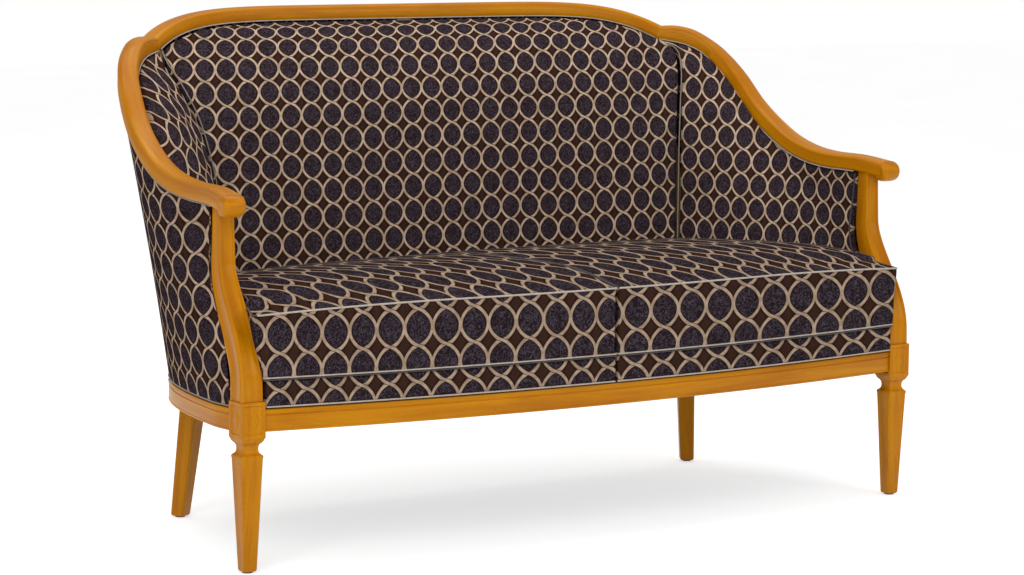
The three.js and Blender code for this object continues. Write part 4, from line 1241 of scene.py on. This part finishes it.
def cushion_mesh(crown, sink):
    """Points, face groups and pinned seams of the right-hand cushion's closed cover."""
    sizes = [len(edge) for edge in cushion_outline(CUSHION_EDGE)]
    across, depth = np.linspace(0, 1, sizes[0]), np.linspace(0, 1, sizes[1])
    ends = [(across, 0 * across), (1 + 0 * depth, depth), (across, 1 + 0 * across), (0 * depth, depth)]
    shares = loop_of(*[np.stack(pair_of, -1) for pair_of in ends])
    loops = []
    for z in CUSHION_LEVELS:
        loop = loop_of(*cushion_outline(z))
        full = top_height(loop[:, 0], shares[:, 0], shares[:, 1], crown, sink)
        rise = (z - CUSHION_BOTTOM) / (CUSHION_EDGE - CUSHION_BOTTOM)
        loops.append(np.column_stack([loop, lerp(CUSHION_BOTTOM, full, rise)]))
    around = len(loops[0])
    patches = []
    for z in (CUSHION_LEVELS[0], CUSHION_LEVELS[-1]):
        level = blended_patch(*cushion_outline(z))
        rows, columns, _ = level.shape
        s = np.linspace(0, 1, columns)[None]
        t = np.linspace(0, 1, rows)[:, None]
        height = np.full((rows, columns), z)
        if z > CUSHION_BOTTOM:
            height = top_height(level[..., 0], s, t, crown, sink)
        patches.append(np.dstack([level, height]))
    rows, columns, _ = patches[0].shape
    rim = rim_loop(rows, columns)
    inner = sorted(set(range(rows * columns)) - set(rim))
    points = np.vstack(loops + [p.reshape(-1, 3)[inner] for p in patches])
    walls = ring_faces(len(loops), around, caps=False)
    lids = []
    for k, level in ((0, 0), (1, len(loops) - 1)):
        index = np.zeros(rows * columns, int)
        index[rim] = level * around + np.arange(around)
        index[inner] = len(loops) * around + k * len(inner) + np.arange(len(inner))
        lids.append([tuple(index[list(f)]) for f in grid_faces(rows, columns, flipped=k == 0)])
    seams = np.concatenate([np.arange(around), (len(loops) - 1) * around + np.arange(around)])
    return points, walls, lids, seams, around


def weave_of_cushion(points, walls, lids):
    walls, lids = np.array(walls), [np.array(f) for f in lids]
    edge = points[walls[:, 1]] - points[walls[:, 0]]
    runs_back = np.abs(edge[:, 1]) > np.abs(edge[:, 0]) * 1.6
    corners = points[walls].reshape(-1, 3)
    side = np.repeat(runs_back, 4)[:, None]
    wall_weave = np.where(side, seat_side_weave(corners), seat_front_weave(corners))
    lid_weave = [seat_top_weave(points[f].reshape(-1, 3)) for f in lids]
    return np.vstack([wall_weave] + lid_weave)


# How much more the right-hand and the left-hand cushion have sunk at the back, towards the arm
CUSHION_SINK = {"right": -0.1, "left": 0.3}

# How far pressure may move a cushion's sides, front and two lids, in metres
SIDE_CAP, FRONT_CAP, LID_CAP = 0.0025, 0.006, 0.016
CUSHION_PRESSURE, PAD_PRESSURE = 4.0, 2.0
BLOWN_RISE = 6.0  # what pressure adds to a cushion's crown, in millimetres


def make_cushions():
    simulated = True
    crown = CUSHION_CROWN - (BLOWN_RISE if simulated else 0.0)
    for side, sign in SIDES:
        points, walls, lids, seams, around = cushion_mesh(crown, CUSHION_SINK[side])
        lid_start = len(CUSHION_LEVELS) * around
        own = points * (sign, 1, 1)
        weave = weave_of_cushion(own, walls, lids)
        faces = walls + lids[0] + lids[1]
        cushion = make_piece(f"loose_seat_cushion_{side}", own, faces, seat_cloth, weave=weave)
        if simulated:
            cap = np.full(len(points), SIDE_CAP)
            cap[(points[:, 2] < CUSHION_EDGE) & (points[:, 1] < cushion_face(points[:, 0]) + 1.0)] = FRONT_CAP
            cap[lid_start:] = LID_CAP
            cap[(points[:, 2] <= CUSHION_BOTTOM + 0.5) | (points[:, 0] < SPLIT + 1.0)] = 0.0
            stuff(cushion, cap, seams, CUSHION_PRESSURE)
        padded(cushion, f"seat_cushion_{side}")
        seam = drawn_in(points[lid_start - around:lid_start]) * (sign, 1, 1)
        front_end = STEPS_ACROSS - 3
        piping(f"cushion_top_piping_{side}", seam[:front_end], 1.7)
        # The dark cord along the rear and side seams stands for the shadow gap there: painted shadow
        piping(f"cushion_rear_piping_{side}", np.vstack([seam[front_end - 1:], seam[:1]]), 1.4, painted_shadow_cord)
        low = drawn_in(points[:around]) * (sign, 1, 1)
        low = np.vstack([low, low[:2]])
        piping(f"cushion_bottom_piping_{side}", low + (0, 0, 3.4), 1.4)
        # The dark cord under the bottom piping stands for the shadow line under the cushion: painted shadow
        piping(f"cushion_shadow_piping_{side}", low, 1.3, painted_shadow_cord)


def drawn_in(loop):
    """A cushion's seam line, set out at its front and in at its sides, where it presses on its neighbours."""
    line = loop.copy()
    front = line[:, 1] < cushion_face(line[:, 0]) + EAR_RADIUS
    line[front, 1] -= 0.8
    line[~front, 1] -= 1.2
    return line


# The padded band under the cushions

BAND_LEVELS = [
    (299.8, -4.0), (300.2, -1.6), (301.6, 0.0), (306, 0.8), (314, 1.8), (325, 2.2), (336, 1.8),
    (344, 0.6), (347.4, -0.6), (348.8, -2.4), (349.0, -4.5),
]


def band_outline(swell):
    """The band's edge in plan. It swells only at the front, where the cloth shows."""
    x = np.linspace(SPLIT, INNER_BLOCK_X - 1.5, 90)
    front = np.stack([x, band_face(x) - swell], -1)
    inset = 8.0 + max(0.0, -swell)
    shares = np.linspace(0.05, 1, 80)
    rim = outline(shares, inset)[:, :2]
    rim[-1, 0] = SPLIT
    near = np.array([(INNER_BLOCK_X - 1.5, BLOCK_REAR + 2.5), (rim[0, 0] - 1.0, BLOCK_REAR + 3.0)])
    return np.vstack([front, near, rim])


def make_seat_bases():
    plans = [band_outline(swell) for _, swell in BAND_LEVELS]
    points = np.vstack([np.insert(plan, 2, z, axis=1) for plan, (z, _) in zip(plans, BAND_LEVELS)])
    faces = ring_faces(len(plans), len(plans[0]))
    for side, sign in SIDES:
        own = points * (sign, 1, 1)
        weave = seat_front_weave(own[face_corners(faces)])
        band = make_piece(
            f"padded_seat_base_{side}", own, faces, seat_cloth, weave=weave, crease=COVER_CREASE)
        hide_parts(f"seat_base_{side}")
        x = np.linspace(SPLIT, INNER_BLOCK_X - 2.0, 90)
        low = np.stack([x * sign, band_face(x) - 1.6, np.full_like(x, 301.2)], -1)
        piping(f"band_bottom_piping_{side}", low, 1.5)


# Back and wings

def make_back_pad():
    s, r = np.meshgrid(np.linspace(-1, 1, 151), np.linspace(0, 1, 91))
    front = on_grid(inner_back, s, r)
    front[..., 0] *= 1 - 1.5 / NOTCH_X
    normals = surface_normals(front, (0.0, -1.0, 0.0))
    front = sunk_edge(front, -normals, 7.0, 16.0)
    points, faces = shell(front, front - normals * 20.0)
    weave = back_weave(points[face_corners(faces)])
    pad = make_piece("padded_back", points, faces, back_cloth, weave=weave)
    stuff_front(pad, front, PAD_CAP * np.clip((1 - r.ravel()) / 0.15, 0, 1))
    padded(pad, "back_pad")
    seam = seam_curve.at(np.linspace(0, 0.985, 90)) + wing_inward * 2.2 + (-0.6, -1.0, 0)
    for side, sign in SIDES:
        piping(f"back_seam_piping_{side}", seam * (sign, 1, 1), 1.3, piping_in_painted_shade)
    piping("crest_piping", under_rail(stations(crest_curve, CREST_SHARES), *CREST_SIZE, -1, 1.0, 0.8), 1.3)


PAD_CAP = 0.006  # how far pressure may move a pad, in metres
CREST_SHARES = np.linspace(0.012, 0.988, 160)


def wing_from_post(rise, clearance):
    """How far along the wing its surface comes out from behind the post, at each rise."""
    shares = np.linspace(0, 0.3, 61)
    found = []
    for up in np.atleast_1d(rise):
        line = inner_wing(shares, np.full(len(shares), up))
        _, deep = post_size(line[:, 2])
        behind = line[:, 1] - (post_y(line[:, 2]) + deep / 2 + clearance)
        found.append(np.interp(0.0, behind, shares))
    return np.array(found)


def make_wing_pads():
    s, r = np.meshgrid(np.linspace(0, 1, 81), np.linspace(0, 1, 81))
    start = wing_from_post(r[:, 0], 1.2)[:, None]
    front = on_grid(inner_wing, start + s * (1 - start), r)
    normals = surface_normals(front, wing_inward)
    front = before_post(sunk_edge(front, -normals, 6.0, 14.0), 1.0)
    points, faces = shell(front, before_post(front - normals * 18.0, 1.0))
    pads = {}
    for side, sign in SIDES:
        own = points * (sign, 1, 1)
        weave = wing_weave(own[face_corners(faces)])
        pads[side] = make_piece(f"padded_wing_{side}", own, faces, back_cloth, weave=weave)
    move = stuff_front(pads["right"], front, PAD_CAP)
    move_points(pads["left"].data, move * (-1, 1, 1))
    rises = np.linspace(0.02, 0.985, 60)
    front_line = inner_wing(wing_from_post(rises, 2.6), rises) + wing_inward * 1.0
    shares = np.linspace(0.085, 0.985, 120)
    top_line = under_rail(arm_stations(shares), *arm_size(shares), -1, 1.0, 0.8)
    for side, sign in SIDES:
        padded(pads[side], f"wing_pad_{side}")
        # The dark cord where the wing meets the post stands for the shadow gap there: painted shadow
        piping(f"wing_front_piping_{side}", front_line * (sign, 1, 1), 1.5, painted_shadow_cord)
        piping(f"arm_piping_{side}", top_line * (sign, 1, 1), 1.3)


# Stretched outer covers

def flat_size(patch):
    """The width, height and area of a patch of cloth, in metres."""
    width, height = (run_along(way)[:, -1].max() for way in (patch, patch.swapaxes(0, 1)))
    a, b, c, d = patch[:-1, :-1], patch[:-1, 1:], patch[1:, 1:], patch[1:, :-1]
    area = (np.linalg.norm(np.cross(c - a, d - b), axis=-1) / 2).sum()
    return width * MM, height * MM, area * MM * MM


def stretched_cover(name, patch, inside, weave, replaced):
    """A cover of one thickness of cloth. Its weave is given for each point of the patch."""
    points, faces = shell(patch, inside)
    weave = np.vstack([weave, weave])[face_corners(faces)]
    cover = make_piece(name, points, faces, back_cloth, weave=weave, crease=COVER_CREASE)
    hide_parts(replaced)
    width, height, area = flat_size(patch)


SIDE_WEAVE = 0.86
CLOTH_THICKNESS = 1.6


def make_outer_covers():
    up = np.linspace(0, 1, 70)
    s, r = np.meshgrid(np.linspace(0, 0.996, 100), up)
    outer, inner = (before_post(on_grid(outer_side, s, r, depth)) for depth in (0.0, CLOTH_THICKNESS))
    ruling = np.linalg.norm(outer - outer[:1], axis=2)
    columns = np.broadcast_to(run_along(outer[0]), s.shape)
    weave = threads_at(columns.ravel() + 8.0, ruling.ravel() + CLOTH_BOTTOM - ROW_MIDDLE) * SIDE_WEAVE
    low = outset(outer[0] + (0, 0, 1.0), 0.4)
    top_shares = np.linspace(0.07, 0.985, 120)
    top = under_rail(arm_stations(top_shares), *arm_size(top_shares), 1, 3.6, 0.8)
    for side, sign in SIDES:
        mirror = (sign, 1, 1)
        stretched_cover(
            f"outer_side_cloth_{side}", outer * mirror, inner * mirror, weave * (-sign, 1, 1),
            f"outer_side_cover_{side}")
        piping(f"side_bottom_piping_{side}", low * mirror, 1.4, piping_in_painted_shade)
        piping(f"side_top_piping_{side}", top * mirror, 1.3, piping_in_painted_shade)
    s, r = np.meshgrid(0.996 * np.sin(np.linspace(-1, 1, 150) * math.pi / 2), up)
    outer, inner = (on_grid(outer_back, s, r, depth) for depth in (0.0, CLOTH_THICKNESS))
    across = run_along(outer)
    rise = np.linalg.norm((outer - outer[:1])[..., 1:], axis=2) + CLOTH_BOTTOM - ROW_MIDDLE
    weave = threads_at((across[:, -1:] / 2 - across).ravel(), rise.ravel())
    stretched_cover("outer_back_cloth", outer, inner, weave, "outer_back_cover")
    piping("back_bottom_piping", outer[0] + (0, 0.4, 1.0), 1.4, piping_in_painted_shade)
    piping("back_top_piping", under_rail(stations(crest_curve, CREST_SHARES), *CREST_SIZE, 1, 3.6, 0.8), 1.7)


def outset(line, distance):
    """A level line moved to its right."""
    return line + sideways(np.gradient(line, axis=0)) * distance


def before_post(points, clearance=1.2):
    """Keeps a cover or pad behind the post's rear face."""
    z = points[..., 2]
    _, deep = post_size(z)
    limit = post_y(z) + deep / 2 + clearance
    low = BLOCK_REAR + clearance
    limit = np.where(z < BLOCK_TOP + 2, np.maximum(limit, low), limit)
    beside = z < 662
    points[..., 1] = np.where(beside, np.maximum(points[..., 1], limit), points[..., 1])
    return points


# Webbing and dust cover under the seat

WEB_WIDTH, WEB_THICKNESS, WEB_WAVE = 50.0, 1.0, 0.35
WEB_Z = RAIL_TOP + 1.15
WEBS_ACROSS, WEBS_BACK, WEB_STEPS = 14, 4, 24


def webbing_strap(start, end):
    """The corners of a strap's section at each step along it. The strap waves over and under."""
    side = unit(np.array([start[1] - end[1], end[0] - start[0], 0])) * WEB_WIDTH / 2
    steps = np.arange(WEB_STEPS + 1)[:, None, None]
    middle = lerp(np.append(start, WEB_Z), np.append(end, WEB_Z), steps / WEB_STEPS)
    lift = np.array([(0, 0, -1), (0, 0, -1), (0, 0, 1), (0, 0, 1)]) * WEB_THICKNESS / 2
    wave = WEB_WAVE * np.sin(steps * math.pi / 2) * (0, 0, 1)
    return middle + np.array([-1, 1, 1, -1])[:, None] * side + lift + wave


def make_webbing():
    rim = outline(np.linspace(0, 1, 400), 18.0)
    by_x = rim[np.argsort(rim[:, 0])]
    straps = []
    for x in (np.arange(WEBS_ACROSS) - (WEBS_ACROSS - 1) / 2) * 2 * HALF_SPAN / WEBS_ACROSS:
        rear = np.interp(abs(x), by_x[:, 0], by_x[:, 1]) - 3
        straps.append(webbing_strap((x, rail_face(x) + 18.0), (x, rear)))
    for k in range(1, WEBS_BACK + 1):
        y = FRAME_DEPTH * k / (WEBS_BACK + 1) - 10
        reach = np.interp(y, rim[:, 1], rim[:, 0]) - 6
        straps.append(webbing_strap((-reach, y), (reach, y)))
    points = np.vstack(straps).reshape(-1, 3)
    own_faces, count = ring_faces(WEB_STEPS + 1, 4), (WEB_STEPS + 1) * 4
    faces = [tuple(k * count + i for i in f) for k in range(len(straps)) for f in own_faces]
    webs = make_piece("woven_seat_webbing", points, faces, web_cloth, crease=40)
    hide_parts("seat_webbing")


STAPLE_SIZES = {"Pitch": 42 * MM, "Length": 10 * MM, "Wire": 0.6 * MM}


def make_dust_cover():
    inset = 10.0
    x = np.linspace(0, INNER_BLOCK_X - 2.0, 60)
    front = np.stack([x, rail_face(x) + inset], -1)
    beside_block = outline([0.045], inset)[0, 0] - 1
    near = np.array([(INNER_BLOCK_X - 2.0, BLOCK_REAR + 3.0), (beside_block, BLOCK_REAR + 3.0)])
    rim = outline(np.linspace(0.06, 1, 90), inset)[:, :2]
    rim[-1, 0] = 0
    half = np.vstack([front, near, rim])
    whole = np.vstack([half, (half * (-1, 1))[-2:0:-1]])
    room = turned(square_section(40 + 5, 2), REAR_LEG_TURN) + rear_leg_place(REAR_LEG_TOP)
    rooms = [room, room * (-1, 1)]
    grid = np.array([(gx, gy) for gx in range(-740, 741, 20) for gy in range(-70, 541, 20)], float)
    grid = grid[[inside_loop(p, whole) for p in grid]]
    flat = [Vector(p) for p in np.vstack([whole] + rooms + [grid]).tolist()]
    loops, start = [], 0
    for ring in [whole] + rooms:
        loops += [(start + i, start + (i + 1) % len(ring)) for i in range(len(ring))]
        start += len(ring)
    found, _, triangles, *_ = delaunay_2d_cdt(flat, loops, [], 0, 1e-6)
    found = np.array([tuple(v) for v in found])
    faces = []
    for t in triangles:
        middle = found[list(t)].mean(0)
        if inside_loop(middle, whole) and not any(inside_loop(middle, ring) for ring in rooms):
            faces.append(tuple(t))
    sag = 0.25 * np.sin(found[:, 0] / 90) * np.sin(found[:, 1] / 110)
    z = np.full(len(found), RAIL_BOTTOM - 0.75) + sag
    points = np.column_stack([found, z])
    cover = make_piece("dust_cover_cloth", points, faces, dust_cloth, outward=False)
    area = sum(triangle_area(*found[list(f)]) for f in faces)
    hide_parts("dust_cover")
    drawn = np.insert(whole + unit(whole.mean(0) - whole) * 8.0, 2, RAIL_BOTTOM - 1.3, axis=1)
    grown("dust_cover_staples", drawn, STAPLES, staple_wire, "glide", **STAPLE_SIZES)


def triangle_area(a, b, c):
    return abs((b[0] - a[0]) * (c[1] - a[1]) - (b[1] - a[1]) * (c[0] - a[0])) / 2


def inside_loop(point, loop):
    x, y = point
    ahead = np.roll(loop, -1, axis=0)
    crosses = (loop[:, 1] > y) != (ahead[:, 1] > y)
    with np.errstate(divide="ignore", invalid="ignore"):
        at = loop[:, 0] + (y - loop[:, 1]) * (ahead[:, 0] - loop[:, 0]) / (ahead[:, 1] - loop[:, 1])
    return int((crosses & (x < at)).sum()) % 2 == 1


make_legs()
make_posts()
make_arms_and_crest()
make_seat_rails()
make_cushions()
make_seat_bases()
make_back_pad()
make_wing_pads()
make_outer_covers()
make_webbing()
make_dust_cover()

HIDDEN_FRAME = ("seat_stretcher", "block", "stile", "tack_rail")
for name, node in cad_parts.items():
    if node.hide_render:
        continue
    finish = frame_beech if any(part in name for part in HIDDEN_FRAME) else show_beech
    if "glide" in name:
        finish = glide_plastic
    node.data.materials.clear()
    node.data.materials.append(finish)


# Floor, light and camera

WHITE = (1, 1, 1, 1)


def make_floor():
    finish = Finish("pale_studio_floor", Roughness=0.9)
    place = finish.object_place()
    cloudy = finish.step(finish.noise(place, 2.0), 0.3, 0.7)
    tint = finish.blend(cloudy, tone(240, 240, 240), tone(236, 236, 236))
    ray = finish.node("ShaderNodeLightPath").outputs
    glossy = finish.math("MAXIMUM", ray["Is Glossy Ray"], ray["Is Transmission Ray"])
    seen = finish.math("MAXIMUM", ray["Is Camera Ray"], glossy)
    diffuse = finish.done(Base_Color=tint, Emission_Color=WHITE, Emission_Strength=finish.times(seen, 0.55))
    mesh = bpy.data.meshes.new("studio_floor")
    mesh.from_pydata([(-14, -14, 0), (14, -14, 0), (14, 14, 0), (-14, 14, 0)], [], [(0, 1, 2, 3)])
    mesh.materials.append(diffuse)
    add_object("studio_floor", mesh)


def make_world():
    world = bpy.data.worlds.new("white_studio")
    bpy.context.scene.world = world
    world.use_nodes = True
    tree = world.node_tree
    ray = wire(tree, "ShaderNodeLightPath").outputs
    seen = wire(tree, "ShaderNodeMath", {
        0: ray["Is Camera Ray"], 1: ray["Is Transmission Ray"],
    }, operation="MAXIMUM")
    strength = wire(tree, "ShaderNodeMapRange", {0: seen.outputs[0], 3: 0.5, 4: 1.0})
    background = tree.nodes["Background"].inputs
    join(tree, WHITE, background["Color"])
    join(tree, strength.outputs[0], background["Strength"])


def softbox(name, place, aim, width, height, power):
    lamp = bpy.data.lights.new(name, "AREA")
    lamp.shape, lamp.size, lamp.size_y, lamp.energy = "RECTANGLE", width, height, power
    light = add_object(name, lamp)
    light.location = place
    light.rotation_euler = (Vector(aim) - Vector(place)).to_track_quat("-Z", "Y").to_euler()


def make_camera():
    yaw, pitch, roll = math.radians(33.06), math.radians(7.19), math.radians(0.51)
    look = Vector((math.sin(yaw) * math.cos(pitch), math.cos(yaw) * math.cos(pitch), -math.sin(pitch)))
    level = Vector((math.cos(yaw), -math.sin(yaw), 0))
    above = level.cross(look)
    right = level * math.cos(roll) + above * math.sin(roll)
    up = above * math.cos(roll) - level * math.sin(roll)
    lens = bpy.data.cameras.new("portrait_lens")
    lens.lens, lens.sensor_width = 114.1, 36.0
    camera = add_object("camera", lens)
    turn = Matrix((right, up, -look)).transposed().to_4x4()
    camera.matrix_world = Matrix.Translation((-3.4610, -5.3594, 1.2392)) @ turn
    bpy.context.scene.camera = camera


make_floor()
make_world()
softbox("key_softbox", (-3.2, -3.0, 3.2), (0, 0, 0.5), 2.6, 2.2, 76)
softbox("front_softbox", (1.8, -4.2, 1.9), (0.2, 0, 0.5), 2.4, 1.8, 35)
softbox("low_softbox", (-2.2, -3.6, 0.4), (0, 0.2, 0.15), 3.0, 0.5, 9)
softbox("top_softbox", (0.2, 0.4, 3.6), (0, 0, 0.4), 3.0, 2.0, 45)
make_camera()
bpy.context.scene.view_settings.view_transform = "Standard"
